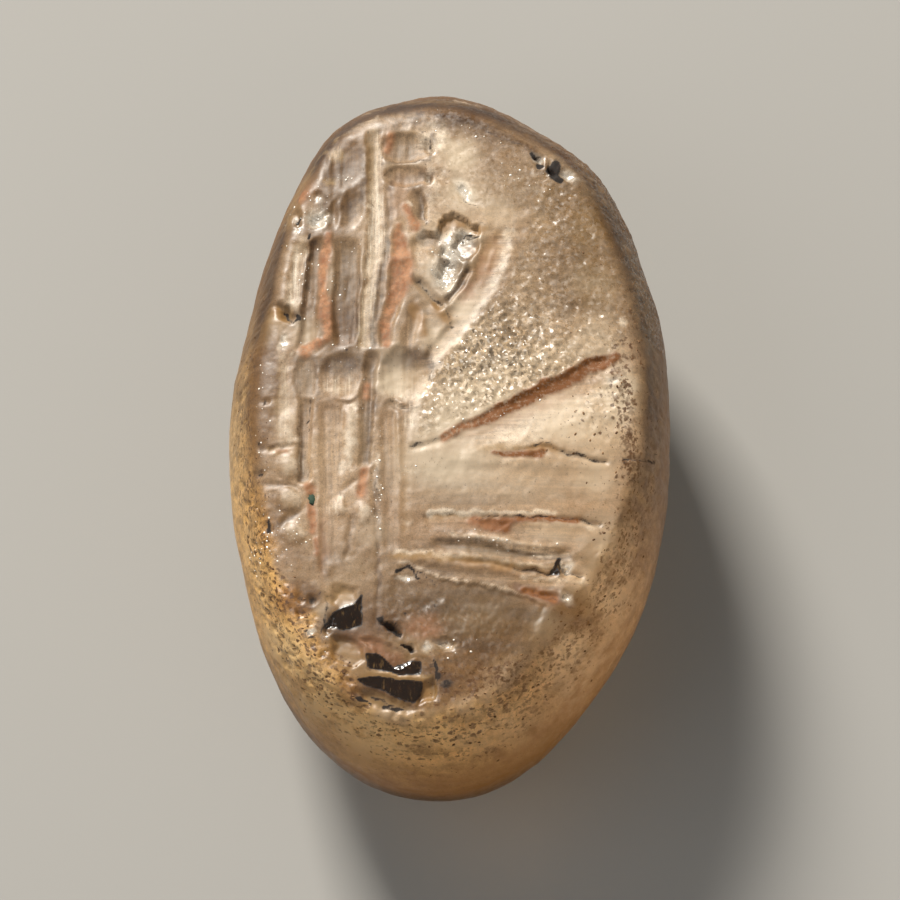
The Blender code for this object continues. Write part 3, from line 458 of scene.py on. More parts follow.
# Crisp black lines and spots: partly holes and cracks, partly painted shadow in the narrow walls of cuts
# and chips.
DARK_AND_SHADOW_LINES = (
    (((-4.6, 0.1), (-4.62, -0.6), (-4.6, -1.05)), (0.06, 0.06), 0.7),
    (((-4.62, -1.05), (-4.62, -2.7)), (0.07, 0.06), 0.5),
    (((-0.8, 2.05), (-0.62, 1.7), (-0.58, 1.2), (-0.7, 0.75)), (0.12, 0.1), 0.45),
    (((-2.05, -0.02), (-1.5, -0.3), (-1.05, -0.25)), (0.07, 0.06), 0.6),
    (((-3.6, -0.06), (-3.2, -0.05), (-2.98, 0.1)), (0.07, 0.05), 0.3),
    (((-2.32, -2.7), (-2.26, -3.6), (-2.26, -4.6)), (0.08, 0.06), 0.5),
    (((-0.83, 6.16), (-0.63, 5.98), (-0.37, 5.96), (-0.27, 6.36), (-0.1, 6.64), (0.1, 6.76),
      (0.37, 6.7), (0.57, 6.5), (0.7, 6.34), (0.93, 6.3), (1.05, 6.5), (1.15, 6.36)), (0.07, 0.07), 0.5),
    (((-1.1, 4.3), (-0.72, 3.9), (-0.25, 3.4)), (0.1, 0.12), 0.6),
    (((0.45, 4.45), (0.38, 4.15), (0.1, 3.75)), (0.12, 0.14), 0.3),
    (((0.46, 5.84), (0.58, 6.02), (0.82, 6), (0.94, 5.86)), (0.07, 0.1), 0.75),
    (((-0.45, 5.45), (-0.28, 5.2), (0.1, 4.75)), (0.06, 0.05), 0.7),
    (((-0.62, 9.55), (-0.56, 9.2)), (0.1, 0.08), 0.6),
    (((-1.3, -1.72), (-0.85, -1.58), (-0.3, -1.3)), (0.1, 0.07), 0.6),
    (((2.5, -1.62), (3.1, -1.57), (3.6, -1.77), (4.3, -1.88), (5.1, -2.06)), (0.07, 0.09), 0.62),
    (((0.9, -4.2), (1.8, -4.06), (2.6, -4.05), (3.4, -4.06)), (0.06, 0.1), 0.66),
    (((3.4, -4.06), (4.2, -4.14), (5, -4.28)), (0.1, 0.07), 0.62),
    (((2.1, -5.8), (2.95, -5.94), (3.5, -5.96)), (0.08, 0.12), 0.62),
    (((3.75, -5.98), (4.35, -6.03)), (0.1, 0.08), 0.6),
    (((2.75, -6.7), (3.1, -6.82), (3.5, -6.95)), (0.12, 0.14), 0.45),
    (((-1.68, -5.98), (-1.4, -5.86), (-1.2, -5.98), (-1.02, -6.18)), (0.14, 0.1), 0.8),
    (((-1, -5.97), (-0.68, -6.2), (-0.46, -6.38)), (0.08, 0.1), 0.6),
    (((5.72, -2.06), (6.2, -1.98), (6.55, -1.8), (6.95, -1.35)), (0.14, 0.08), 0.6),
    (((-2.16, -7.62), (-1.9, -7.9), (-1.52, -8.2)), (0.2, 0.16), 1),
    (((-2.1, -7.5), (-1.6, -7.9)), (0.05, 0.05), 0.7),
    (((-1.5, -8.42), (-1.12, -8.64)), (0.14, 0.16), 0.9),
    (((-3.85, -6.6), (-3.95, -6.95), (-3.98, -7.3)), (0.06, 0.08), 0.5),
    (((-3.95, -7.2), (-4, -7.7), (-4.15, -8.05)), (0.12, 0.08), 0.6),
    (((-0.42, -9), (-0.4, -9.55)), (0.12, 0.12), 0.9),
    (((-2.1, -10.52), (-1.85, -10.62), (-1.55, -10.66)), (0.2, 0.12), 0.9),
    (((-2.95, -10.2), (-2.7, -10.4), (-2.5, -10.5)), (0.12, 0.1), 0.85),
    (((-2.5, -10.2), (-2, -10.38), (-1.45, -10.64)), (0.08, 0.07), 0.62),
    (((0.5, 7.35), (0.7, 7.1), (0.98, 7)), (0.06, 0.09), 0.6),
    (((-5.5, 3.35), (-5.15, 2.82)), (0.14, 0.12), 0.7),
    (((-5.02, 3.1), (-4.98, 2.85)), (0.12, 0.1), 0.8),
    (((1, 10), (1.9, 9.55), (2.7, 9.2), (3.1, 9)), (0.1, 0.12), 0.5),
    (((-2.4, 8.95), (-1.6, 8.68), (-0.84, 8.75)), (0.05, 0.06), 0.6),
    (((-2, 7.83), (-1.4, 7.7), (-0.73, 7.88)), (0.05, 0.06), 0.55),
    (((-0.95, 7.25), (-0.75, 6.58), (-0.84, 6.12)), (0.06, 0.08), 0.55),
    (((-2.72, 9.9), (-2.84, 8.7), (-2.8, 7.7)), (0.05, 0.05), 0.5),
    (((-2.94, 5.9), (-2.83, 5.27), (-3.03, 3.98), (-3.24, 2.71), (-3.3, 1.83)), (0.06, 0.06), 0.5),
    (((-4.56, 5.68), (-4.68, 4.41), (-4.8, 3.34), (-4.98, 2.27)), (0.08, 0.07), 0.4),
    (((-3.87, 5.7), (-3.36, 5.84), (-2.97, 5.6)), (0.05, 0.05), 0.45),
    (((-0.14, 3.33), (0.15, 2.6)), (0.08, 0.06), 0.5),
)
DARK_AND_SHADOW_SPOTS = (
    (-0.3, -9.45, 0.14, 0.1, 20, 0.7), (-0.55, -9.15, 0.1, 0.1, 0, 0.6), (-5, 6.62, 0.13, 0.2, 0, 1),
    (-4.66, 5.95, 0.07, 0.12, 0, 0.8), (-4.43, -6.9, 0.18, 0.17, 0, 0.6),
    (-4.8, -6.85, 0.14, 0.09, 0, 0.5), (-4.2, -6.65, 0.16, 0.08, 40, 0.5),
    (-1.38, -7.45, 0.08, 0.06, 0, 0.7), (-0.5, -7.15, 0.07, 0.09, 0, 0.5),
    (3.05, 8.62, 0.16, 0.1, 0, 1), (3.5, 8.5, 0.22, 0.42, -12, 1.1), (3.62, 8.1, 0.1, 0.22, 15, 1),
    (2.85, 9, 0.16, 0.08, -25, 0.8), (-5.98, 0.05, 0.1, 0.08, 0, 0.7), (-6.15, -0.25, 0.1, 0.1, 0, 0.7),
    (-6.15, -1.55, 0.09, 0.16, 0, 0.7), (-6.18, -2.5, 0.13, 0.1, 0, 0.7),
    (-5.9, -4.3, 0.09, 0.24, 25, 0.9), (-0.12, -9.75, 0.28, 0.17, 10, 0.6),
    (-3.92, -7.72, 0.12, 0.3, -20, 0.55), (-4.4, -8.2, 0.16, 0.08, 0, 0.7),
    (-4.6, -7.9, 0.12, 0.1, 0, 0.7), (1.55, -7.95, 0.06, 0.08, 0, 0.5),
    (-3.35, 1.75, 0.09, 0.09, 0, 0.5), (-4.38, -3.5, 0.12, 0.12, 0, 0.3),
)
# Clear golden crystal.
GOLD_LINES = (
    (((-1.75, -5.45), (-0.3, -5.5), (1, -5.62), (2.3, -5.76)), (0.22, 0.18), 1),
    (((2.3, -5.72), (3.4, -5.86), (4.3, -6.14)), (0.14, 0.14), 0.8),
    (((1, -1.72), (2, -1.66), (3.2, -1.6)), (0.3, 0.2), 0.7),
    (((-0.5, -4.1), (1.65, -4.06), (3.4, -4.05)), (0.24, 0.2), 0.5),
    (((-1.7, -1), (-1.45, -2.5), (-1.4, -4.5)), (0.5, 0.4), 0.35),
    (((-0.4, 3.5), (0, 2.9)), (0.4, 0.3), 0.6),
    (((-0.2, 6.2), (0, 6.55), (0.3, 6.6), (0.7, 6.2), (1.1, 6.2)), (0.34, 0.3), 0.8),
    (((-5.9, -1.7), (-5.5, -1.72), (-5.2, -1.7)), (0.16, 0.14), 0.6),
)
GOLD_SPOTS = (
    (-1.8, -9.5, 1.3, 0.16, -6, 1), (-3.2, -9, 0.6, 0.7, 30, 0.8), (-2.2, -10.4, 0.9, 0.24, -12, 0.8),
    (-3.5, -6.75, 0.42, 0.36, 0, 0.9), (-3.45, 0.4, 0.5, 0.3, 0, 0.55), (-1.1, 0.75, 0.4, 0.5, 0, 0.6),
    (-5.55, 3.1, 0.3, 0.4, -30, 0.8), (-0.65, -10, 0.2, 0.4, 8, 1), (-0.1, -8.42, 0.36, 0.16, -20, 0.8),
    (-3.6, -8.6, 0.6, 0.5, 20, 0.5), (-5.1, 8, 0.3, 0.9, -25, 0.6), (1.2, 5, 0.4, 0.8, -20, 0.6),
    (3.3, -1.75, 0.5, 0.16, 0, 0.5), (4.5, -2.2, 1.4, 2, 0, 0.25),
)
# Soft reddish stains under the surface.
BLUSH_SPOTS = (
    (-2.3, -8.62, 0.95, 0.36, -28, 0.9), (-0.8, -7.9, 0.55, 0.4, 0, 0.95),
    (1.25, 5, 0.3, 0.9, -20, 0.75), (0.62, 3.85, 0.26, 0.36, -20, 0.7), (-4.1, -5, 0.2, 0.9, 0, 0.6),
    (-2.78, -3.1, 0.2, 0.5, 0, 0.6), (-1.65, 7.3, 0.35, 0.9, 0, 0.35), (-2.05, 9.4, 0.2, 0.5, 0, 0.6),
    (-4.7, 7.6, 0.4, 0.6, -20, 0.4), (3, -0.1, 3, 0.3, 27, 0.5), (1.3, -4.3, 0.9, 0.3, 0, 0.5),
    (2.9, -6.7, 0.8, 0.3, -14, 0.5),
)
# Freshly broken crystal, painted near white for its glitter: painted glints.
SILVER_GLINT_SPOTS = (
    (0.5, 5.95, 0.42, 0.24, -20, 0.9), (0.1, 5.4, 0.34, 0.5, 15, 1), (-0.15, 4.5, 0.36, 0.6, 5, 1),
    (-4.36, 6.6, 0.32, 0.34, 0, 1.2), (-4.34, 7.4, 0.14, 0.1, 0, 0.9), (-5, 6.2, 0.16, 0.08, 10, 1),
    (-5.5, 2.2, 0.12, 0.26, -10, 0.9), (3.83, -5.78, 0.16, 0.22, 30, 1),
    (3.8, -6.82, 0.14, 0.22, 30, 1), (4, 8.25, 0.3, 0.16, -40, 0.8), (3, 8.92, 0.2, 0.12, -30, 0.9),
    (-4.4, -7.95, 0.14, 0.12, 0, 1.1), (-3.34, -7.42, 0.08, 0.1, 0, 1), (-0.72, -8.5, 0.14, 0.12, 0, 1),
    (-0.15, -8.42, 0.34, 0.1, -18, 0.7), (-1.4, -6.2, 0.22, 0.06, 0, 1),
    (0.5, 7.6, 0.4, 0.16, -55, 0.9), (5.4, 0.8, 0.22, 0.1, 10, 0.7),
)
GREY_SPOTS = (
    (1, -7.3, 3.2, 1.3, -8, 0.95), (2, -5.28, 2.2, 0.2, -4, 1), (2, -2.7, 3.2, 0.7, -3, 0.2),
    (2.4, 8, 2.4, 1.6, -30, 0.4), (3.6, 5.4, 1.6, 1.8, -20, 0.3), (-3.6, 7.6, 1.2, 1.4, 0, 0.35),
    (-3.4, 4.6, 0.4, 1.4, 0, 0.55), (-2.4, 4, 0.25, 2.4, -3, 0.2), (-2.74, -1.2, 0.24, 1.3, 0, 0.35),
    (-3.4, -7.9, 0.8, 0.5, 0, 0.5), (-3.6, 8.3, 0.7, 0.5, 0, 0.45), (-1.4, 9, 0.8, 0.5, 0, 0.35),
    (1.2, 5.6, 0.35, 0.3, 0, 0.4), (0, 5, 0.6, 1, 0, 0.5), (-2.6, -5.6, 1.6, 1, 0, 0.4),
    (-4.7, 0.85, 0.4, 0.8, 0, 0.6), (-3.5, 1.35, 0.7, 0.5, 0, 0.6), (-1.5, 1.35, 0.8, 0.45, 0, 0.6),
)
# Painted shade and painted light over wide areas, laid over whatever else marks the surface, partly the
# stone's own uneven tone: browner where shaded and lighter where lit.
SHADE_SPOTS = (
    (-3.25, -7.3, 0.7, 0.45, 30, 0.6), (-1.75, -9.1, 1.1, 0.3, -6, 0.6),
    (-2, -9.95, 1.1, 0.32, -12, 0.55), (-0.45, -9.3, 0.35, 0.4, 0, 0.7),
    (-1.85, -7.8, 0.6, 0.3, -35, 0.5), (-4, 8.3, 0.9, 0.8, -20, 0.35), (-4.9, -5, 0.5, 0.5, 0, 0.3),
    (-4.7, -6.9, 0.5, 0.4, 0, 0.4), (4.9, -4.6, 0.4, 0.4, 0, 0.3), (-2.6, -9.3, 0.5, 0.5, 0, 0.4),
    (6.5, 0.4, 0.35, 1.8, 0, 0.6), (4.2, -7.2, 1, 0.5, -20, 0.5), (-3.2, -8.6, 0.6, 0.6, 0, 0.5),
    (-0.6, -9.8, 0.8, 0.6, 0, 0.6), (0.3, 10.7, 0.7, 0.5, 0, 0.4), (0.2, 9.8, 0.5, 0.3, 0, 0.3),
    (-4.2, 8.4, 0.6, 0.7, 0, 0.4), (-5.4, 0.6, 0.5, 1, 0, 0.5), (0.3, 5.6, 0.5, 0.9, 0, 0.5),
    (4.5, 3.5, 0.6, 0.5, 0, 0.4), (1.6, -5.32, 2.1, 0.17, -4, 0.45), (-6.1, 0.8, 0.5, 1.8, 0, 0.6),
    (-4.4, 5.9, 1, 0.6, 0, 0.3), (-5.9, 3.6, 0.5, 1.4, -8, 0.5), (-4, 8, 0.9, 0.9, 0, 0.3),
    (-3.4, 2, 0.8, 0.4, 0, 0.5), (-5.6, -3.6, 0.6, 0.6, 0, 0.3), (-2.8, -9.6, 0.7, 0.7, 0, 0.5),
    (-1, -10, 0.9, 0.5, 0, 0.4), (0.3, 10.5, 2.2, 0.5, -10, 0.6), (-5.4, 6.7, 0.5, 1.9, -15, 0.45),
    (0.5, 4.7, 0.35, 0.45, 0, 0.6), (2.2, 2.2, 0.9, 0.6, 20, 0.5), (4.6, -5.5, 0.4, 0.6, 0, 0.6),
    (-4.7, -6.8, 0.6, 0.5, 0, 0.5), (4, -6.8, 0.9, 0.5, 0, 0.5), (-3.9, -5.6, 0.5, 0.5, 0, 0.6),
    (-5.8, -4.5, 0.5, 0.6, 0, 0.4), (-1.9, -9.8, 1.4, 0.7, -10, 0.6), (-3.6, 8.7, 1.5, 1.9, -20, 1),
    (-3.7, 8.3, 0.8, 1.1, 0, 0.4), (-0.4, 10.9, 2.6, 0.4, -4, 0.9), (-4.2, 2.7, 0.6, 0.9, 0, 0.4),
    (-3.4, 2.6, 0.5, 0.8, 0, 0.5), (-4.8, -6.7, 0.6, 0.5, 0, 0.5), (0.2, -9.6, 1.3, 0.6, 0, 0.7),
    (0.8, -8.6, 0.8, 0.5, 0, 0.4), (-3.9, -8.5, 0.6, 0.6, 0, 0.4), (5.4, 6.6, 0.5, 1, 24, 0.6),
    (-4.7, -5.8, 0.5, 0.5, 0, 0.4), (-4.3, 6.4, 1.1, 1.2, 0, 0.4), (-3.9, 3.9, 1.5, 2.4, 0, 0.36),
    (-2, 3.4, 1.3, 1.8, 0, 0.35), (-6.25, 0.6, 0.5, 3.4, -3, 0.7), (-5.7, -3, 0.8, 2.6, 6, 0.5),
    (-5, -6.9, 0.7, 0.6, 0, 0.5), (5.3, 5.4, 1.1, 3, 24, 0.65), (3.9, 5.2, 1.1, 2.2, 20, 0.4),
    (3.2, 7.8, 1.6, 0.9, -35, 0.3), (-0.8, -8, 2.8, 1.2, -5, 0.7), (2.1, -8.2, 1.3, 0.9, 25, 0.55),
    (-3, -8.4, 0.8, 1.2, 20, 0.4), (-1.2, -9.8, 2, 0.9, 0, 0.8), (0.5, -7, 3.4, 0.8, -8, 0.4),
)
LIGHT_SPOTS = (
    (-4.1, -7.3, 0.25, 0.3, 0, 0.5), (-4.6, 2.6, 0.4, 0.5, 0, 0.35), (0.9, -5.35, 1.2, 0.14, -4, 0.3),
    (3.4, -8, 0.8, 0.5, -20, 0.35), (-4.7, -9.4, 0.6, 1.2, 30, 0.6), (-3.6, -10.9, 0.7, 0.5, -30, 0.5),
    (-5.3, 6.9, 0.3, 0.6, 0, 0.6), (0.7, 3.6, 0.7, 0.4, 35, 0.5), (5.5, 0.6, 0.5, 0.9, 0, 0.4),
    (3.8, -1, 1.2, 0.4, 10, 0.4), (3.8, -1.1, 0.9, 0.4, 10, 0.5), (1.6, 6.9, 0.7, 0.5, -30, 0.4),
    (3.4, -4.5, 0.9, 0.5, 0, 0.5), (0.4, 9, 0.6, 0.6, 0, 0.4), (-0.4, 11.2, 1.2, 0.2, -4, 0.3),
    (5.6, 0.2, 0.5, 0.9, 0, 0.5), (4.8, 4.4, 0.8, 0.8, 0, 0.4), (2.7, 0, 0.9, 0.4, 25, 0.6),
    (-0.5, 2.2, 0.5, 0.5, 0, 0.5), (0.5, 3.3, 0.4, 0.5, 0, 0.5), (-5.8, -7.9, 0.4, 0.7, 20, 0.6),
    (4.6, -9.7, 0.6, 0.8, -35, 0.8), (-4.9, -10, 0.5, 0.8, 30, 0.8), (-3.5, -11.2, 0.7, 0.5, -20, 0.6),
    (-5.4, -0.5, 0.35, 1, 0, 0.3), (-4.75, 2.3, 0.5, 0.6, 0, 0.45), (2.4, 1.2, 1.6, 0.6, 25, 0.5),
    (4.8, 1.9, 0.8, 0.9, 0, 0.45), (5.7, 0.4, 0.5, 1, 0, 0.4), (1, -7.6, 1.1, 0.5, 0, 0.35),
    (5.4, -6, 0.7, 1.6, -15, 0.5), (4.2, -8.6, 0.9, 1.2, -30, 0.6), (-3.2, -11, 1.1, 0.7, -20, 0.5),
    (-0.6, 4.2, 0.5, 0.9, 0, 0.4), (4.6, 6.2, 0.6, 0.9, 0, 0.4), (0.2, 9, 0.6, 0.7, 0, 0.5),
    (0.3, 7.4, 0.5, 0.6, 0, 0.4), (-5.9, 2.7, 0.5, 0.6, 0, 0.5), (-4.9, 7.6, 0.5, 0.7, 0, 0.35),
    (-1.9, 1, 0.5, 0.9, 0, 0.6), (0.5, 0.1, 1, 0.8, 20, 0.7), (1.4, -0.3, 0.7, 0.5, 20, 0.5),
    (3.4, -0.1, 1, 0.7, 25, 0.6), (4.8, -2.7, 0.6, 0.6, 0, 0.5), (-5.3, -8.9, 0.6, 1, 22, 0.6),
    (-4.2, -9.9, 0.7, 0.9, 20, 0.6), (-1.2, -8.6, 0.9, 0.4, 0, 0.5), (-2.7, 9, 0.2, 1, 0, 0.4),
    (-2.5, -4.6, 0.5, 0.5, 0, 0.35), (4.9, 3.6, 0.7, 1.2, 0, 0.35), (4.6, -6.6, 0.7, 0.9, -30, 0.5),
    (-0.3, -1.3, 1.1, 1.3, 0, 0.5), (-0.2, -2.3, 1.6, 0.8, 0, 0.5), (1.1, -0.6, 1.8, 0.7, 25, 0.45),
    (4.6, -0.8, 1.1, 1.6, 0, 0.5), (1.8, -2.6, 3, 1.1, 0, 0.35), (4.9, -4.9, 0.6, 1, 0, 0.55),
    (0, 2.4, 0.9, 0.8, 0, 0.35), (-1.6, 0.6, 0.8, 0.5, 0, 0.6), (0.6, 7.9, 0.7, 1, 0, 0.35),
    (-5.3, -9.2, 0.7, 1.9, 22, 0.8), (-4, -10.9, 0.9, 0.9, -40, 0.8), (-2.4, -11.2, 1.4, 0.7, -15, 0.6),
    (0.6, -11, 2.4, 0.7, 8, 0.5), (-6.4, -5.5, 0.5, 2, 8, 0.4),
)
# Where pale bits lie that stand in for small glints: painted glints.
GLINT_CRUMB_SPOTS = (
    (-5.5, -4.9, 0.6, 0.8, -20, 1.2), (-5.9, -3.8, 0.4, 0.8, 0, 0.6), (-6.1, -0.6, 0.25, 2.2, 0, 0.5),
    (-2.3, -2.9, 0.16, 1.5, 0, 1), (1.6, -4.95, 1.7, 0.2, -10, 1), (-1.4, -2.6, 0.4, 0.3, 0, 0.7),
    (-3.7, 8, 0.7, 0.2, 0, 0.8), (-0.2, 5, 0.5, 1, 10, 1), (-4.4, 7, 0.5, 0.8, 0, 0.7),
    (-4.2, -8.2, 0.4, 0.4, 0, 0.8), (0.3, -8.5, 0.8, 0.3, 10, 0.7), (1.5, 1.2, 2.2, 1.6, 30, 0.35),
    (-3.5, 3.5, 1.2, 3, 0, 0.2), (2.3, 8, 0.8, 0.5, -30, 0.5), (-5, 5, 0.3, 1.4, 10, 0.5),
    (0.5, 9.9, 2.2, 0.3, -12, 0.4),
)
# Where grains lodge on the face, besides the pits of the flank.
GRAIN_SPOTS = (
    (5.8, -0.6, 0.42, 2.6, 5, 1.5), (5.2, 0.2, 0.7, 1.2, 0, 0.5), (4.2, -0.6, 1, 1.4, 0, 0.28),
    (5.2, -4.2, 0.4, 0.9, -15, 0.5), (5.6, -2.6, 0.5, 1, 0, 0.7), (6.1, 2.2, 0.3, 1.8, 0, 0.7),
    (4.9, -3.4, 0.5, 0.6, 0, 0.5), (5, -1, 0.9, 0.9, 0, 0.35), (1.3, -9.6, 2.6, 0.7, 12, 1),
    (4.2, -7.4, 0.8, 1, -35, 0.7), (-3.9, -9.2, 1.2, 0.7, -35, 1), (-5.6, -6.6, 0.6, 1.4, 20, 0.9),
    (-6.2, -3, 0.4, 2.2, 0, 0.5), (2.5, 9.2, 1.6, 0.35, -22, 0.4), (4.6, 5, 0.9, 1.6, -20, 0.22),
)

# ----------------------------------------
# Earth left in the cuts. Patches: points along the middle, width at start and end.
# ----------------------------------------

RED_EARTH = (
    (((-3.99, 6), (-4.02, 5.75), (-4.12, 5.4)), (0.2, 0.34)),
    (((-4.12, 5.4), (-4.2, 4.65), (-4.2, 4.1)), (0.34, 0.3)),
    (((-4.2, 4.1), (-4.08, 3.55), (-4.02, 3.1)), (0.3, 0.4)),
    (((-4.02, 3.1), (-4, 2.75), (-4.05, 2.25)), (0.36, 0.2)),
    (((-4.28, 2.12), (-4.48, 1.95), (-4.72, 1.84)), (0.28, 0.46)),
    (((-1.68, 6.3), (-1.66, 6), (-1.61, 5.7)), (0.2, 0.5)),
    (((-1.61, 5.75), (-1.56, 5.22), (-1.57, 4.65)), (0.5, 0.78)),
    (((-1.57, 4.65), (-1.65, 4.1), (-1.82, 3.65)), (0.78, 0.42)),
    (((-1.82, 3.7), (-2, 3.3), (-2.06, 2.85)), (0.4, 0.24)),
    (((-2.06, 2.85), (-2.08, 2.4), (-2.07, 1.95)), (0.26, 0.22)),
    (((-1.46, 7.02), (-1.3, 6.68), (-1.12, 6.25)), (0.22, 0.32)),
    (((-1.93, 9.7), (-2, 9.4), (-2.1, 9.15)), (0.2, 0.16)),
    (((-0.2, -1.34), (0.7, -0.86), (1.7, -0.34)), (0.24, 0.4)),
    (((1.6, -0.38), (2.9, 0.3), (3.9, 0.82)), (0.4, 0.5)),
    (((3.9, 0.82), (4.6, 1.18), (5.4, 1.6)), (0.5, 0.36)),
    (((1.45, -1.84), (2.3, -1.9), (3, -1.8)), (0.1, 0.32)),
    (((0.75, -4.24), (1.3, -4.36), (1.75, -4.38)), (0.26, 0.5)),
    (((1.75, -4.28), (2.2, -4.18), (3.2, -4.12), (4.2, -4.15)), (0.24, 0.14)),
    (((-2.76, -2.5), (-2.82, -3.3)), (0.3, 0.24)),
    (((-2.72, 0.55), (-2.75, 0.1)), (0.16, 0.16)),
    (((-4.6, -2.95), (-4.5, -3.1)), (0.24, 0.3)),
    (((-4.48, -3.65), (-4.45, -4.5)), (0.26, 0.22)),
    (((-4.33, -4.8), (-4.3, -5.35)), (0.14, 0.1)),
    (((2.4, -6.55), (2.8, -6.66), (3.4, -6.88)), (0.2, 0.26)),
    (((-4.75, 7.65), (-4.95, 7.35)), (0.2, 0.16)),
    (((-5.55, -1.72), (-5.35, -1.72)), (0.16, 0.14)),
)
YELLOW_EARTH = (
    (((0.5, -5.62), (1, -5.68)), (0.2, 0.2)),
    (((1.3, -5.76), (2, -5.86)), (0.2, 0.2)),
    (((2.5, -1.72), (3, -1.62), (3.45, -1.74)), (0.14, 0.2)),
    (((-0.2, 6.3), (0.05, 6.55), (0.35, 6.45)), (0.3, 0.3)),
    (((0.7, 6.2), (1.1, 6.15)), (0.2, 0.26)),
    (((1.4, 5.5), (1.25, 5.1)), (0.26, 0.24)),
    (((-1.2, 3.3), (-0.95, 2.7), (-0.8, 2.3)), (0.3, 0.24)),
    (((-0.5, 3.5), (-0.35, 3.15), (-0.1, 2.9)), (0.2, 0.3)),
    (((-0.75, -9.75), (-0.7, -10.2)), (0.2, 0.24)),
    (((-5.6, 3.3), (-5.5, 2.95)), (0.26, 0.22)),
)
EARTH_THICKNESS = 0.03

# Where the golden crust laps over the rim onto the low end of the face, as a line from left to right.
CRUST_EDGE = (
    (-6.3, -2.6), (-5.65, -5.2), (-4.8, -6.95), (-3.8, -8.3), (-3.3, -9.3), (-2.5, -10.6),
    (-0.93, -10.8), (0.67, -10.3), (1.63, -9.95), (2.9, -8.8), (4.05, -7.3), (4.9, -5.6), (5.6, -3.6),
    (6.1, -1),
)

# ----------------------------------------
# The flank. Rows: bearing, change, spread in degrees.
# ----------------------------------------

# How light its golden crust is: partly its own tone, partly painted glow on the lower left where light
# passes through the crystal, and painted shade on the upper and right sides.
FLANK_TONE_AND_GLOW = 0.38
FLANK_TONES_AND_GLOWS = (
    (218, 0.6, 40), (270, 0.2, 24), (310, 0.05, 26), (352, -0.18, 30), (100, -0.5, 50),
)
# How thickly pits lie on it.
PITTING = 0.3
PITTINGS = (
    (222, 0.7, 34), (182, 0.35, 26), (285, 0.6, 36), (325, 0.38, 26), (358, 0.3, 14), (90, -0.2, 50),
)
SWELL_HEIGHT, DENT_HEIGHT, PIT_DEPTH = 0.04, 0.02, 0.09

# The speck of green corrosion on the face.
SPECK_PLACE, SPECK_HALF_SIZES = (-4.42, -3.46), (0.16, 0.2, 0.05)

# ----------------------------------------
# The sheet of fine cells on which the face's depth and marks are worked out
# ----------------------------------------

CELL = 0.03
cell_xs = np.arange(-7.8, 7.8, CELL)
cell_ys = np.arange(-12.9, 12.9, CELL)
SHEET_X, SHEET_Y = np.meshgrid(cell_xs, cell_ys)


def blurred(sheet, spread, stretch=(1, 1)):
    """The sheet smoothed over a spread in mm, which may be stretched along X and Y."""
    up = np.fft.fftfreq(sheet.shape[0], CELL)[:, None] * stretch[1]
    across = np.fft.rfftfreq(sheet.shape[1], CELL)[None] * stretch[0]
    fade = np.exp(-2 * (math.pi * spread) ** 2 * (up * up + across * across))
    return np.fft.irfft2(np.fft.rfft2(sheet) * fade, sheet.shape)


def grain(seed, size, stretch=(1, 1)):
    """Smooth random unevenness with grains of a size in mm, and an even spread of about one."""
    rough = np.random.default_rng(seed).standard_normal(SHEET_X.shape)
    smooth = blurred(rough, size, stretch)
    return smooth / smooth.std()


def ramp(value, start, end):
    """0 before start and 1 past end, with a smooth run between."""
    t = np.clip((value - start) / (end - start), 0, 1)
    return t * t * (3 - 2 * t)


def hump(value, middle, spread):
    """1 at the middle, fading away on both sides of it."""
    return np.exp(-(((value - middle) / spread) ** 2))


def smooth_path(points, step=0.15):
    """Points a step apart on a Catmull-Rom curve through the given ones."""
    ends = [np.array(p, float) for p in points]
    ends = [ends[0] * 2 - ends[1], *ends, ends[-1] * 2 - ends[-2]]
    path = []
    for a, b, c, d in zip(ends, ends[1:], ends[2:], ends[3:]):
        count = max(2, math.ceil(np.hypot(*(c - b)) / step))
        for t in np.arange(count) / count:
            bend = (2 * a - 5 * b + 4 * c - d) * t**2 + (3 * b - a - 3 * c + d) * t**3
            path.append(0.5 * (2 * b + (c - a) * t + bend))
    path.append(ends[-2])
    return np.array(path)


def beside_path(path, x, y):
    """Each place's distance from the path, positive on its left, how far along the path it lies, and the
    path's length."""
    nearest = np.full(x.shape, 1e9)
    side, along = np.zeros_like(x), np.zeros_like(x)
    length = 0.0
    for a, b in zip(path, path[1:]):
        step = b - a
        stride = np.hypot(*step)
        t = np.clip(((x - a[0]) * step[0] + (y - a[1]) * step[1]) / stride**2, 0, 1)
        dx, dy = x - a[0] - t * step[0], y - a[1] - t * step[1]
        gap = np.hypot(dx, dy)
        closer = gap < nearest
        nearest = np.where(closer, gap, nearest)
        side = np.where(closer, gap * np.sign(step[0] * dy - step[1] * dx), side)
        along = np.where(closer, length + t * stride, along)
        length += stride
    return side, along, length


def left_of(points, x, y):
    """How far each place lies to the left of a smooth line through the points."""
    return beside_path(smooth_path(points, 0.5), x, y)[0]


def window_round(points, margin):
    """The sheet's cells within a margin of the points' box, as a pair of slices."""
    points = np.asarray(points)
    low, high = points.min(0) - margin, points.max(0) + margin
    columns = slice(*np.searchsorted(cell_xs, (low[0], high[0])))
    rows = slice(*np.searchsorted(cell_ys, (low[1], high[1])))
    return rows, columns


# Nothing that the wheel or a blow left is quite straight: every outline strays a little.
STRAY_X = 0.022 * grain(21, 0.2) + 0.012 * grain(22, 0.07)
STRAY_Y = 0.022 * grain(23, 0.2) + 0.012 * grain(24, 0.07)
STRAYED = SHEET_X + STRAY_X, SHEET_Y + STRAY_Y
RAGGED = SHEET_X + 0.03 * grain(25, 0.07) + STRAY_X, SHEET_Y + 0.03 * grain(26, 0.07) + STRAY_Y


def band(points, widths, margin, sheets):
    """The window round a band along a path. In it, the distance from the path, how far along it each
    cell lies, the path's length and the band's width."""
    path = smooth_path(points)
    box = window_round(path, margin * max(widths))
    side, along, length = beside_path(path, sheets[0][box], sheets[1][box])
    return box, side, along, length, widths[0] + (widths[1] - widths[0]) * along / length


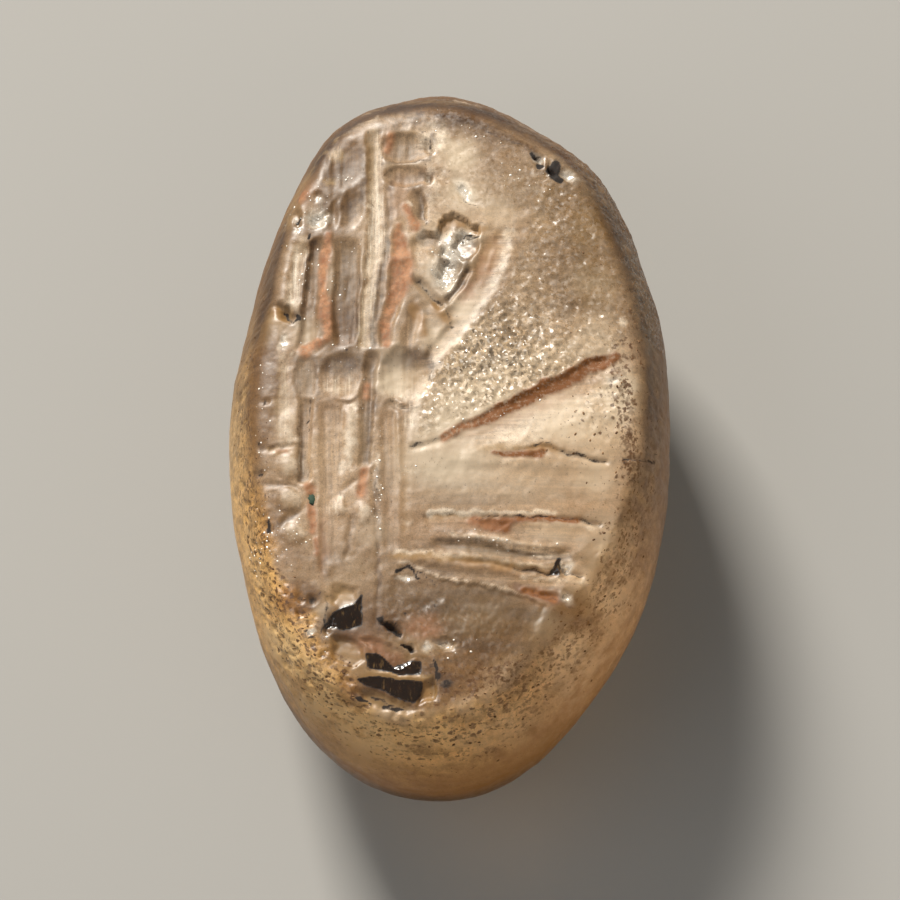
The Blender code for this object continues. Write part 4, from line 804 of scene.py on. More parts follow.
def oval(x, y, half_x, half_y, turn, margin, sheets):
    """The window round a turned oval, and how far out of its centre each cell lies, with 1 on its edge."""
    box = window_round([(x, y)], margin)
    c, s = math.cos(math.radians(turn)), math.sin(math.radians(turn))
    dx, dy = sheets[0][box] - x, sheets[1][box] - y
    return box, np.hypot((dx * c + dy * s) / half_x, (dy * c - dx * s) / half_y)


def edges(corners):
    """The outline's edges, as pairs of corners."""
    corners = np.array(corners)
    return zip(corners, np.roll(corners, -1, 0))


def stroke_depth(points, widths, depths, flatness, lean):
    """The window and depth of one wheel stroke."""
    box, side, along, length, width = band(points, widths, 1, STRAYED)
    depth = depths[0] + (depths[1] - depths[0]) * along / length
    plunge = np.clip(np.minimum(along, length - along) / (PLUNGE * width), 0, 1)
    out = side / (width / 2) - lean
    out = np.abs(out) / np.where(out > 0, 1 - lean, 1 + lean)
    return box, depth * np.sin(math.pi / 2 * plunge) * np.clip(1 - out**flatness, 0, None)


def hollow_depth(x, y, half_x, half_y, depth, turn, power):
    """The window and depth of one drilled or ground hollow."""
    box, out = oval(x, y, half_x, half_y, turn, max(half_x, half_y) + 0.1, STRAYED)
    return box, depth * np.clip(1 - out**power, 0, None)


def flake_depth(corners, wall, floor, tilt):
    """The window and depth of a broken flake with flat walls and a flat, tilted floor."""
    box = window_round(corners, 0.1)
    x, y = RAGGED[0][box], RAGGED[1][box]
    inside = np.full(x.shape, 1e9)
    for a, b in edges(corners):
        edge = b - a
        from_edge = ((y - a[1]) * edge[0] - (x - a[0]) * edge[1]) / np.hypot(*edge)
        inside = np.minimum(inside, from_edge)
    middle = np.mean(corners, 0)
    level = floor - tilt[0] * (x - middle[0]) - tilt[1] * (y - middle[1])
    return box, np.clip(np.minimum(level, wall * inside), 0, None)


def step_depth(points, drop, reach):
    """The window and depth of a ragged step below a line that runs from left to right."""
    path = np.array(points)
    box = window_round(path, reach * 2)
    side, along, length = beside_path(path, RAGGED[0][box], RAGGED[1][box])
    ends = ramp(np.minimum(along, length - along), 0.0, 0.3)
    below = np.clip(-side, 0, None)
    return box, drop * ends * ramp(-side, 0.0, 0.05) * hump(below, 0, reach)


def outline_mark(corners, strength):
    """The window and strength of a mark with a firm outline, which may be hollow on one side."""
    box = window_round(corners, 0.1)
    x, y = STRAYED[0][box], STRAYED[1][box]
    inside = np.zeros(x.shape, bool)
    for a, b in edges(corners):
        crosses = (a[1] > y) != (b[1] > y)
        rise = b[1] - a[1] if b[1] != a[1] else 1e-9
        inside ^= crosses & (x < (b[0] - a[0]) * (y - a[1]) / rise + a[0])
    return box, strength * inside


def line_mark(points, widths, strength):
    """The window and strength of a soft line."""
    box, side, _, _, width = band(points, widths, 1.5, RAGGED)
    return box, strength * hump(side, 0, 0.55 * width)


def spot_mark(x, y, half_x, half_y, turn, strength):
    """The window and strength of a soft spot."""
    box, out = oval(x, y, half_x, half_y, turn, max(half_x, half_y) * 2.2, RAGGED)
    return box, strength * np.exp(-0.8 * out**3)


def gathered(parts, start=0.0):
    """The highest of the parts at each cell, where each part is a window and its values."""
    total = np.full_like(SHEET_X, start)
    for box, values in parts:
        total[box] = np.maximum(total[box], values)
    return total


def marks(lines=(), spots=()):
    """The strongest of the lines and spots at each cell."""
    return gathered([line_mark(*m) for m in lines] + [spot_mark(*m) for m in spots])


def summed(spots):
    """The spots' strengths added up, up to 1."""
    total = np.zeros_like(SHEET_X)
    for box, values in (spot_mark(*spot) for spot in spots):
        total[box] += values
    return np.clip(total, 0, 1)


def earth_cover(patches, seed):
    """How far inside the patches' ragged outlines each cell lies, from 1 to less than 0 outside."""
    parts = []
    for points, widths in patches:
        box, side, _, _, width = band(points, widths, 1, STRAYED)
        parts.append((box, 1 - (side / (width / 2)) ** 2))
    cover = gathered(parts, -3.0)
    return np.clip(cover, -3, 1) + 0.14 * grain(seed, 0.05) + 0.24 * grain(seed + 1, 0.12)


def soft_oval(centre, half_sizes):
    """A soft round patch on the sheet, 1 at its centre."""
    dx, dy = SHEET_X - centre[0], SHEET_Y - centre[1]
    return np.exp(-((dx / half_sizes[0]) ** 2 + (dy / half_sizes[1]) ** 2))


def rough_fields(fresh):
    """How strongly the face is pecked, and how frosted it is with wear."""
    hand, ray = left_of(HAND_EDGE, SHEET_X, SHEET_Y), left_of(RAY_EDGE, SHEET_X, SHEET_Y)
    centre, half_sizes, least = PECKED_MIDDLE
    pecked = ramp(hand, 0.0, 0.3) * ramp(ray, 0.0, 0.25)
    pecked = pecked * (least + (1 - least) * soft_oval(centre, half_sizes))
    low_field = ramp(-0.3 * SHEET_X - SHEET_Y, 6.6, 7.2) * ramp(SHEET_X, -2.3, -1.9)
    pecked = np.maximum(pecked, PECKED_LOW * low_field)
    centre, half_sizes, strength = PECKED_BELOW
    pecked = np.maximum(pecked, strength * soft_oval(centre, half_sizes))
    above = ramp(SHEET_Y, 6.6, 7.4) * ramp(SHEET_X, -1.0, -0.2)
    frosted = np.maximum(0.6 * ramp(hand, 0.0, 0.3) * ramp(ray, 0.0, 0.3), 0.3 * above)
    return pecked, (0.06 + frosted) * (1 - fresh)


def carve_face():
    """The depth of the face's cuts, flakes and grain, and the marks that its finish follows."""
    strokes = [stroke_depth(*stroke) for stroke in STAFF + LEFT_FIGURE + RIGHT_FIGURE]
    figures = gathered(strokes + [hollow_depth(*hollow) for hollow in HOLLOWS])
    rays = gathered([stroke_depth(*stroke) for stroke in RAYS])
    cuts = blurred(np.maximum(figures, rays), CUT_WEAR)
    worn = blurred(np.maximum(FIGURE_SHARE * figures, RAY_SHARE * rays), CUT_WEAR)
    flakes = [flake_depth(*flake) for flake in FLAKES] + [step_depth(*step) for step in STEPS]
    pads = gathered([hollow_depth(*pad) for pad in PADS])
    fresh = blurred(gathered([outline_mark(*window) for window in WINDOWS]), 0.02)
    depth = np.maximum(worn, gathered(flakes)) - pads + WINDOW_DEPTH * blurred(fresh, WINDOW_EDGE)
    pecked, frosted = rough_fields(fresh)
    depth += pecked * (0.03 * grain(3, 0.055) + 0.016 * grain(4, 0.12))
    depth += 0.01 * grain(5, 0.7) + 0.005 * grain(6, 0.12) + 0.003 * grain(8, 0.05)
    # Wheel marks run down the long cuts and along the rays.
    in_cut = ramp(cuts, 0.03, 0.15) * (1 - fresh)
    upright = ramp(-SHEET_X, 0.7, 1.3)
    depth += in_cut * upright * 0.007 * grain(7, 0.04, (1, 14))
    depth += in_cut * (1 - upright) * 0.004 * grain(9, 0.05, (12, 1))
    red, yellow = earth_cover(RED_EARTH, 31), earth_cover(YELLOW_EARTH, 41)
    ochre = blurred(ramp(red, -0.9, 0.6), 0.03)
    depth -= EARTH_THICKNESS * ochre * (1 + 0.35 * grain(33, 0.06))
    silver = marks(spots=SILVER_GLINT_SPOTS)
    depth += 0.035 * silver * np.abs(grain(34, 0.1))
    beyond = -left_of(CRUST_EDGE, *RAGGED) + 0.12 * grain(10, 0.25)
    return {
        "depth": depth,
        "cuts": ramp(cuts, 0.02, 0.14),
        "fresh": fresh,
        "pecked": pecked,
        "frosted": frosted,
        "cavity": blurred(depth, 0.06) - blurred(depth, 0.4),
        "pale": marks(PALE_AND_HIGHLIGHT_LINES, PALE_AND_HIGHLIGHT_SPOTS),
        "brown": marks(BROWN_DIRT_AND_SHADE_LINES, BROWN_DIRT_AND_SHADE_SPOTS),
        # Black marks, partly painted shadow, and the windows painted black.
        "dark": np.maximum(marks(DARK_AND_SHADOW_LINES, DARK_AND_SHADOW_SPOTS), fresh),
        "gold": marks(GOLD_LINES, GOLD_SPOTS),
        "blush": marks(spots=BLUSH_SPOTS),
        # Painted shade and painted light over wide areas.
        "shade": summed(SHADE_SPOTS),
        "lift": summed(LIGHT_SPOTS),
        "grey": marks(spots=GREY_SPOTS),
        "sparkle": marks(spots=GLINT_CRUMB_SPOTS),
        "lodged": marks(spots=GRAIN_SPOTS),
        "stain": blurred(ramp(np.maximum(red, yellow), -0.8, 0.3), 0.07),
        "ochre": ochre,
        "honey": blurred(ramp(yellow, -0.9, 0.5), 0.04),
        "upright": upright,
        "crust": ramp(beyond, -0.25, 0.3) * ramp(-SHEET_Y, 1.0, 3.0),
        "silver": silver,
    }


relief = carve_face()


def at(name, x, y):
    """What the relief holds under a name, at places between its cells."""
    sheet = relief[name]
    i = np.clip((x - cell_xs[0]) / CELL, 0, len(cell_xs) - 1.001)
    j = np.clip((y - cell_ys[0]) / CELL, 0, len(cell_ys) - 1.001)
    i0, j0 = i.astype(int), j.astype(int)
    fi, fj = i - i0, j - j0
    upper = sheet[j0, i0] * (1 - fi) + sheet[j0, i0 + 1] * fi
    lower = sheet[j0 + 1, i0] * (1 - fi) + sheet[j0 + 1, i0 + 1] * fi
    return upper * (1 - fj) + lower * fj


# ----------------------------------------
# The crystal's mesh
# ----------------------------------------


def front_sheet():
    """Bearing and reach of a grid of places that fills the front of the stone."""
    u, v = np.meshgrid(np.linspace(-1, 1, COLUMNS), np.linspace(-1, 1, ROWS))
    x, y = u * np.sqrt(1 - v * v / 2), v * np.sqrt(1 - u * u / 2)
    bearing = np.degrees(np.arctan2(y * HALF_LENGTH, x * HALF_WIDTH))
    return bearing.ravel(), np.clip(np.hypot(x, y).ravel(), 0, 1)


def sheet_faces():
    """The front sheet's quads, and the points round its edge."""
    count = np.arange(COLUMNS * ROWS).reshape(ROWS, COLUMNS)
    quads = np.stack([count[:-1, :-1], count[:-1, 1:], count[1:, 1:], count[1:, :-1]], -1)
    edge = [*count[0, :-1], *count[:-1, -1], *count[-1, :0:-1], *count[:0:-1, 0]]
    return quads.reshape(-1, 4).tolist(), [int(i) for i in edge]


def stone_mesh():
    """The uncut stone as one closed mesh, its points' places from the girth's middle, and bearings."""
    bearing, reach = front_sheet()
    radius, height = front_place(bearing, reach)
    faces, edge = sheet_faces()
    corner = edge[::BACK_MERGE]
    around = len(corner)
    first = len(bearing)
    ring_bearing = bearing[corner]
    for ring in range(1, BACK_RINGS + 1):
        ring_radius, ring_height = back_place(ring_bearing, ring / BACK_RINGS)
        bearing = np.append(bearing, ring_bearing)
        radius = np.append(radius, ring_radius)
        height = np.append(height, ring_height)
    for j in range(around):
        k = (j + 1) % around
        outer = [edge[(j * BACK_MERGE + step) % len(edge)] for step in range(BACK_MERGE + 1)]
        faces.append([*reversed(outer), first + j, first + k])
        for ring in range(BACK_RINGS - 1):
            a, b = first + ring * around, first + (ring + 1) * around
            faces.append([a + j, b + j, b + k, a + k])
    last = first + (BACK_RINGS - 1) * around
    faces.append([last + (around - 1 - j) for j in range(around)])
    turn = np.radians(bearing)
    places = np.stack([radius * np.cos(turn), radius * np.sin(turn), height], 1)
    mesh = bpy.data.meshes.new("crystal")
    mesh.from_pydata((places * MM).tolist(), [], faces)
    mesh.validate()
    return mesh, places, bearing


def place_mesh(mesh, places):
    """Moves the points to their places, with the stone's box over the origin and its flat on the ground."""
    moved = (places + np.array([-SHIFT_X, -SHIFT_Y, GIRTH_HEIGHT])) * MM
    mesh.vertices.foreach_set("co", moved.astype(np.float32).ravel())
    mesh.update()


def add_measure(mesh, name, values):
    layer = mesh.attributes.new(name, "FLOAT", "POINT")
    layer.data.foreach_set("value", np.asarray(values, np.float32))


def add_directions(mesh, name, values):
    layer = mesh.attributes.new(name, "FLOAT_VECTOR", "POINT")
    layer.data.foreach_set("vector", np.asarray(values, np.float32).ravel())


def unevenness(places, frequency, octaves):
    """Random highs and lows at the places, from about -1 to 1."""
    return np.array([noise.fractal(Vector(p) * frequency, 0.7, 2.1, octaves) for p in places.tolist()])


def skirt_tone_and_shade(bearing, z):
    """How clear and deep in colour the crystal is towards the girth, on all but its left side: partly its
    own tone, partly painted shade, deepest at the near low edge and least on the lit upper left.
    """
    bearing = (bearing + 360) % 360
    skirt = (1 - ramp(z, 0.8, 2.9)) * (1 - hump(bearing, 202, 54))
    skirt *= 1 - 0.7 * hump(bearing, 322, 30)
    skirt += 1.1 * (1 - ramp(z, -0.9, 0.7)) * hump(bearing, 262, 32)
    skirt *= ramp(z, -2.6, -0.5)
    return skirt * (1 - 0.7 * hump(bearing, 122, 52) * (1 - ramp(z, -0.2, 1.6)))


# What the finish reads straight off the relief.
FACE_MEASURES = (
    "cuts", "upright", "fresh", "pecked", "frosted", "cavity", "pale", "brown", "dark", "gold",
    "blush", "grey", "stain", "ochre", "honey", "shade", "lift", "silver",
)


def crystal_mesh():
    """The carved and worn stone, with the measures that its finish and its grains follow."""
    mesh, places, bearing = stone_mesh()
    normals = np.empty(len(places) * 3, np.float32)
    mesh.vertices.foreach_get("normal", normals)
    x, y, z = places.T
    turn = np.radians(bearing)
    front = ramp(z, 0.2, 1.6)
    back = 1 - ramp(z, -2.9, -0.7)
    flank = np.maximum(1 - ramp(z, FACE_RISE - 0.4, FACE_RISE), at("crust", x, y) * front)
    # Pits and grains are drawn out along the rim, so their pattern runs slower that way.
    girth = girth_radius(bearing)
    fall = z * 0.8 - np.hypot(x, y) * 0.75
    way = np.stack([girth * np.cos(turn) * 0.5, girth * np.sin(turn) * 0.5, fall], 1)
    pits = unevenness(way, 4.6, 2)
    lodged = at("lodged", x, y) * front
    pitted = (PITTING + fading(bearing, PITTINGS)) * ramp(z, 0.9, 2.4) * flank
    pitted = np.maximum(pitted, 1.15 * lodged)
    rise = SWELL_HEIGHT * unevenness(places, 0.35, 3) + DENT_HEIGHT * unevenness(way, 2.4, 3)
    rise *= flank * (1 - 0.7 * back)
    rise -= PIT_DEPTH * ramp(pits, 0.2, 0.55) * np.clip(pitted, 0, 1) * flank
    rise *= ramp(z, -GIRTH_HEIGHT, -GIRTH_HEIGHT + 0.4)
    rise -= at("depth", x, y) * front
    place_mesh(mesh, places + normals.reshape(-1, 3) * rise[:, None])

    clear = 1 - ramp(at("fresh", x, y) * front, 0.05, 0.3)
    measures = {name: at(name, x, y) * front for name in FACE_MEASURES}
    measures["flank"], measures["back"], measures["pitted"] = flank, back, pitted
    measures["skirt"] = skirt_tone_and_shade(bearing, z)
    # How light the flank's crust is by bearing: partly tone, partly painted glow and painted shade.
    measures["light"] = FLANK_TONE_AND_GLOW + fading(bearing, FLANK_TONES_AND_GLOWS)
    grains = np.maximum(pitted * (0.35 + ramp(pits, 0.0, 0.4)), lodged)
    measures["grains"] = np.clip(grains, 0, 1) * clear
    measures["glint_crumbs"] = np.clip(at("sparkle", x, y) * front, 0, 1) * clear
    for name, values in measures.items():
        add_measure(mesh, name, values)
    add_directions(mesh, "way", way * MM)
    add_directions(mesh, "around", np.stack([-np.sin(turn), np.cos(turn), np.zeros_like(turn)], 1))
    return mesh


def speck_mesh(centre, half_sizes):
    """A knobbly speck of corroded copper, stuck on the face at a place."""
    ball = bmesh.new()
    bmesh.ops.create_icosphere(ball, subdivisions=3, radius=1)
    x, y = np.array([centre[0]]), np.array([centre[1]])
    share = np.hypot(x, y) / rim_radius(np.degrees(np.arctan2(y, x)))
    height = (crowned(share) - at("depth", x, y))[0] + GIRTH_HEIGHT
    middle = Vector((centre[0] - SHIFT_X, centre[1] - SHIFT_Y, height))
    for corner in ball.verts:
        knob = 1 + 0.6 * noise.noise(corner.co * 2.7)
        corner.co = (middle + Vector(c * half * knob for c, half in zip(corner.co, half_sizes))) * MM
    mesh = bpy.data.meshes.new("green_speck")
    ball.to_mesh(mesh)
    ball.free()
    return mesh


# ----------------------------------------
# Finishes. Colours are linear red, green and blue.
# ----------------------------------------


def add_node(tree, kind, inputs, **settings):
    """A node with its settings, whose inputs are given values or other nodes' outputs."""
    node = tree.nodes.new(kind)
    for key, value in settings.items():
        setattr(node, key, value)
    for key, value in inputs.items():
        feed(tree, node.inputs[key], value)
    return node


def feed(tree, socket, value):
    """Links an output to the socket, or sets the socket to a value or a colour."""
    if isinstance(value, bpy.types.NodeSocket):
        tree.links.new(value, socket)
    elif socket.type == "RGBA":
        socket.default_value = (*value, 1)
    else:
        socket.default_value = value


class Finish:
    """A node material with a Principled shader, and short ways to add the nodes that feed it."""

    def __init__(self, name):
        self.material = bpy.data.materials.new(name)
        self.material.use_nodes = True
        self.tree = self.material.node_tree
        self.shader = self.tree.nodes["Principled BSDF"]
        self.place = self.tree.nodes.new("ShaderNodeTexCoord").outputs["Object"]
        self.measures = {}

    def add(self, kind, inputs, **settings):
        return add_node(self.tree, kind, inputs, **settings)

    def __getitem__(self, name):
        """One of the numbers kept at the mesh's points."""
        if name not in self.measures:
            node = self.add("ShaderNodeAttribute", {}, attribute_name=name)
            self.measures[name] = node.outputs["Fac"]
        return self.measures[name]

    def directions(self, name):
        return self.add("ShaderNodeAttribute", {}, attribute_name=name).outputs["Vector"]

    def part(self, vector, axis):
        """One of the three numbers of a place, a direction or a colour."""
        return self.add("ShaderNodeSeparateXYZ", {0: vector}).outputs[axis]

    def math(self, operation, a, b):
        return self.add("ShaderNodeMath", {0: a, 1: b}, operation=operation).outputs[0]

    def vector(self, operation, a, *others):
        inputs = dict(enumerate((a, *others)))
        return self.add("ShaderNodeVectorMath", inputs, operation=operation).outputs[0]

    def times(self, first, *others):
        for other in others:
            first = self.math("MULTIPLY", first, other)
        return first

    def plus(self, a, b):
        return self.math("ADD", a, b)

    def less(self, a, b):
        return self.math("SUBTRACT", a, b)

    def greater(self, a, b):
        return self.math("MAXIMUM", a, b)

    def noise(self, scale, detail, roughness=0.55, place=None):
        inputs = {"Vector": place or self.place, "Scale": scale, "Detail": detail, "Roughness": roughness}
        return self.add("ShaderNodeTexNoise", inputs).outputs["Fac"]

    def between(self, value, start, end, low=0.0, high=1.0):
        """Runs smoothly from low to high as the value goes from start to end."""
        inputs = {"Value": value, "From Min": start, "From Max": end, "To Min": low, "To Max": high}
        node = self.add("ShaderNodeMapRange", inputs, interpolation_type="SMOOTHSTEP")
        return node.outputs["Result"]

    def mix(self, share, a, b):
        """Colour a, taken over by colour b by a share."""
        return self.add("ShaderNodeMix", {0: share, 6: a, 7: b}, data_type="RGBA").outputs[2]

    def tinted(self, share, a, b):
        """Colour a, multiplied by colour b by a share."""
        inputs = {0: share, 6: a, 7: b}
        return self.add("ShaderNodeMix", inputs, data_type="RGBA", blend_type="MULTIPLY").outputs[2]

    def mix_numbers(self, share, a, b):
        return self.add("ShaderNodeMix", {0: share, 2: a, 3: b}, data_type="FLOAT").outputs[0]

    def drawn_out(self, shares):
        """Places squeezed by a share on each axis, which draws a pattern out along it."""
        return self.vector("MULTIPLY", self.place, shares)

    def scaled(self, tone, amount):
        inputs = {0: tone, "Scale": amount}
        return self.add("ShaderNodeVectorMath", inputs, operation="SCALE").outputs[0]

    def bump(self, height, distance):
        inputs = {"Height": height, "Distance": distance, "Strength": 1.0}
        return self.add("ShaderNodeBump", inputs).outputs["Normal"]

    def bent(self, place, scale, amount):
        """Places shaken by noise, which makes the outlines of a pattern ragged."""
        inputs = {"Vector": place, "Scale": scale, "Detail": 2.0}
        shake = self.add("ShaderNodeTexNoise", inputs).outputs["Color"]
        return self.vector("ADD", place, self.scaled(shake, amount))

    def specks(self, scale, place, crowding, ragged):
        """Specks, one to a cell at the most, in more of the cells where they crowd."""
        cell = self.add("ShaderNodeTexVoronoi", {"Vector": place, "Scale": scale}).outputs
        chance = self.part(cell["Color"], "X")
        size = self.between(self.less(crowding, chance), -0.1, 0.8, 0.0, 0.5)
        return self.between(self.less(size, self.plus(cell["Distance"], ragged)), -0.22, 0.14)

    def facets(self, scale):
        """A direction of its own for each cell, each part from -0.5 to 0.5."""
        inputs = {"Vector": self.place, "Scale": scale}
        cell = self.add("ShaderNodeTexVoronoi", inputs).outputs["Color"]
        return self.vector("SUBTRACT", cell, (0.5, 0.5, 0.5))

    def tilted(self, normal, direction, amount):
        """The normal leaning towards a direction, as on a surface of small broken faces."""
        return self.vector("NORMALIZE", self.vector("ADD", normal, self.scaled(direction, amount)))

    def shade(self, **inputs):
        for key, value in inputs.items():
            feed(self.tree, self.shader.inputs[key.replace("_", " ")], value)
        return self.material


# The crystal's colours, in the order in which they are laid over each other.
WORN_DEEP, WORN_PALE = (0.40, 0.25, 0.137), (0.54, 0.365, 0.21)
SMOKE = (0.19, 0.128, 0.062)
PECKED = (0.74, 0.56, 0.36)
CRUST_DEEP, CRUST_GOLD = (0.09, 0.034, 0.005), (0.95, 0.55, 0.175)
CRUST_RIGHT, CRUST_UPPER = (0.74, 0.48, 0.24), (0.84, 0.60, 0.31)
# Pale worn crystal, partly painted highlight.
PALE_AND_HIGHLIGHT = (0.93, 0.77, 0.585)
STAIN = (0.42, 0.23, 0.12)
# Brown dirt, partly painted shade.
BROWN_DIRT_AND_SHADE = (0.11, 0.054, 0.017)
FIBRE = (1.0, 0.88, 0.7)
PORE = (0.16, 0.095, 0.045)
# Painted shade for the hollows and painted highlight for the ridges.
HOLLOW_SHADE, RIDGE_HIGHLIGHT = (0.15, 0.095, 0.05), (0.84, 0.70, 0.52)
# Colours of painted light for the face and flanks, and the tint of painted shade.
LIGHT_FACE, LIGHT_FLANK, LIGHT_RIGHT = (0.95, 0.78, 0.56), (0.98, 0.68, 0.32), (0.92, 0.72, 0.47)
SHADE = (0.41, 0.31, 0.17)
GOLD = (0.56, 0.34, 0.125)
# The crystal's deeper tone towards the girth, partly painted shade.
SKIRT_AND_SHADE, SKIRT_DEEP_SHADE = (0.235, 0.095, 0.009), (0.06, 0.022, 0.001)
PIT = (0.11, 0.042, 0.006)
BLUSH = (0.42, 0.19, 0.09)
EARTH_DEEP, EARTH_PALE = (0.36, 0.135, 0.046), (0.62, 0.29, 0.13)
EARTH_RIGHT = (0.25, 0.076, 0.002)
HONEY = (0.42, 0.23, 0.08)
# Near white for freshly broken crystal: a painted glint.
SILVER_GLINT = (0.86, 0.80, 0.70)
# Black, partly painted shadow.
BLACK_AND_SHADOW = (0.013, 0.007, 0.004)
HAIR = (0.20, 0.12, 0.045)
BACK = (0.50, 0.375, 0.235)

# The finish of the two kinds of grains and of the speck: two tones, and how rough it is.
DARK_GRAIN = (0.09, 0.038, 0.01), (0.2, 0.1, 0.035), 0.8
# Near white bits that stand in for small glints: painted glints.
PALE_GLINT_CRUMB = (0.95, 0.92, 0.86), (0.8, 0.74, 0.64), 0.15
COPPER_GREEN = (0.002, 0.009, 0.004), (0.006, 0.03, 0.012), 0.75

WAVE_HEIGHT = 0.02 * MM


# Some of the coats below paint light and shade into the tone: highlights, glints, shade in hollows and
# walls, and the glow and shade of the flanks.
class CrystalFinish(Finish):
    """Rock crystal gone grey-brown and satin with wear, honey coloured and pitted on the flanks. Its tone
    is laid on in coats, each over what the last one left."""

    def __init__(self):
        super().__init__("rock_crystal")
        self.sideways, self.lengthways = self.part(self.place, "X"), self.part(self.place, "Y")
        self.way = self.directions("way")
        # The patterns that the coats share. Their scales are in grains to the metre.
        self.fine, self.finer = self.noise(3600, 2), self.noise(9000, 2, 0.65)
        self.mottle = self.noise(2400, 4, 0.65)
        self.cloud = self.noise(1300, 4, 0.7, self.way)
        self.chips = self.facets(10500)

    def coat(self, share, colour):
        """Lays a colour over a share of the tone."""
        self.tone = self.mix(share, self.tone, colour)

    def vary(self, amount):
        """Makes the tone lighter above 1 and darker below it."""
        self.tone = self.scaled(self.tone, amount)

    def streaks(self, scale, detail, shares):
        """Fine lines, drawn out along the axis that has the small share."""
        return self.noise(scale, detail, 0.6, self.drawn_out(shares))


def lay_ground(f):
    """The worn face, and the golden crust of the flanks."""
    f.tone = f.mix(f.between(f.noise(300, 2), 0.35, 0.65), WORN_DEEP, WORN_PALE)
    f.coat(f.times(f["grey"], 0.85), SMOKE)
    f.coat(f.times(f["pecked"], 0.9), PECKED)
    # The crust's lightness holds painted glow and painted shade as well as its own tone.
    light = f["light"]
    clouds = f.between(f.cloud, 0.34, 0.64, -0.3, 0.3)
    golden = f.plus(clouds, f.between(f.mottle, 0.34, 0.64, -0.22, 0.22))
    golden = f.plus(light, f.times(golden, f.between(light, 0.3, 0.8, 0.4, 1.0)))
    lightest = f.mix(f.between(f.sideways, 0.001, 0.0045), CRUST_GOLD, CRUST_RIGHT)
    upper = f.between(f.lengthways, -0.0045, -0.0005, 0.0, 0.5)
    lightest = f.mix(upper, lightest, CRUST_UPPER)
    f.coat(f["flank"], f.mix(golden, CRUST_DEEP, lightest))


def lay_marks(f):
    """The pale and brown marks: wear and dirt, with painted highlights among the pale ones and painted
    shade among the brown ones.
    """
    pale = f.plus(f["pale"], f.between(f.fine, 0.3, 0.7, -0.2, 0.2))
    # Pale marks, partly painted highlights.
    f.coat(f.between(pale, 0.1, 1.05), PALE_AND_HIGHLIGHT)
    f.coat(f.times(f["stain"], 0.45), STAIN)
    # Brown marks, partly dirt and partly painted shade.
    brown = f.times(f["brown"], f.between(f.mottle, 0.35, 0.62, 0.5, 1.15))
    f.coat(f.between(brown, 0.0, 1.0, 0.0, 0.92), BROWN_DIRT_AND_SHADE)
    # Fine bright fibres run down the staff.
    fibres = f.between(f.streaks(15000, 1, (1, 0.03, 1)), 0.53, 0.66)
    fibres = f.times(fibres, f["pale"], f["upright"], f["cuts"])
    f.coat(f.times(fibres, 1.2), FIBRE)


def lay_grain(f):
    """The grain of the surface: scratches, pores, chips, painted shade in the hollows and painted highlight
    on the ridges.
    """
    cuts, upright = f["cuts"], f["upright"]
    pecked, frosted, cavity = f["pecked"], f["frosted"], f["cavity"]
    # The wheel's scratches run down the upright cuts and along the rays.
    down = f.between(f.streaks(13000, 1, (1, 0.05, 1)), 0.3, 0.7, 0.86, 1.14)
    across = f.between(f.streaks(13000, 1, (0.05, 1, 1)), 0.3, 0.7, 0.75, 1.25)
    f.vary(f.mix_numbers(cuts, 1.0, f.mix_numbers(upright, across, down)))
    drawn = f.between(f.streaks(2600, 2, (0.1, 1, 1)), 0.32, 0.68, -0.2, 0.2)
    plain = f.less(1.0, f.greater(upright, frosted))
    f.vary(f.plus(1.0, f.times(drawn, plain)))
    f.vary(f.between(f.finer, 0.3, 0.7, 0.88, 1.12))
    f.vary(f.between(f.noise(24000, 1), 0.3, 0.7, 0.84, 1.16))
    f.vary(f.mix_numbers(frosted, 1.0, f.between(f.mottle, 0.36, 0.62, 0.72, 1.25)))
    patches = f.between(f.mottle, 0.36, 0.56, 0.1, 1.0)
    pores = f.times(f.between(f.finer, 0.58, 0.68), patches)
    f.coat(f.times(pores, f.plus(0.12, f.times(frosted, 0.55))), PORE)
    chip = f.between(f.part(f.chips, "X"), -0.5, 0.3, 0.45, 1.1)
    f.vary(f.mix_numbers(pecked, 1.0, chip))
    # Painted shade darkens the hollows of the relief and painted highlight lightens its ridges.
    f.coat(f.between(cavity, 0.01, 0.11, 0.0, 0.5), HOLLOW_SHADE)
    f.coat(f.between(cavity, -0.02, -0.09, 0.0, 0.3), RIDGE_HIGHLIGHT)


def lay_painted_light_and_shade(f):
    """Painted light and painted shade over wide areas, partly the stone's own uneven tone; clear gold; and
    the deep tone towards the girth, partly painted shade.
    """
    flank = f["flank"]
    lightest = f.mix(f.between(f.sideways, 0.0, 0.004), LIGHT_FLANK, LIGHT_RIGHT)
    lightest = f.mix(flank, LIGHT_FACE, lightest)
    patches = f.mix_numbers(flank, 1.0, f.between(f.cloud, 0.38, 0.58, 0.15, 1.1))
    # Painted light and then painted shade over wide areas, partly the stone's own uneven tone.
    f.coat(f.times(f["lift"], 0.75, patches), lightest)
    f.tone = f.tinted(f["shade"], f.tone, SHADE)
    f.coat(f.times(f["gold"], 0.6), GOLD)
    # Towards the girth the tone deepens: partly the crystal's own colour, partly painted shade at the near
    # low edge.
    skirt = f["skirt"]
    f.coat(f.times(skirt, 1.1), SKIRT_AND_SHADE)
    f.coat(f.between(skirt, 1.0, 1.7, 0.0, 0.9), SKIRT_DEEP_SHADE)


def lay_pits(f):
    """Brown specks in the flanks' pits, and reddish stains."""
    ragged = f.between(f.finer, 0.3, 0.7, -0.18, 0.22)
    pits = f.specks(8000, f.bent(f.way, 7000, 0.0002), f["pitted"], ragged)
    f.coat(f.times(pits, f.between(f.mottle, 0.35, 0.6, 0.4, 0.95)), PIT)
    blush = f.times(f["blush"], f.between(f.fine, 0.3, 0.7, 0.4, 0.9))
    f.coat(blush, BLUSH)


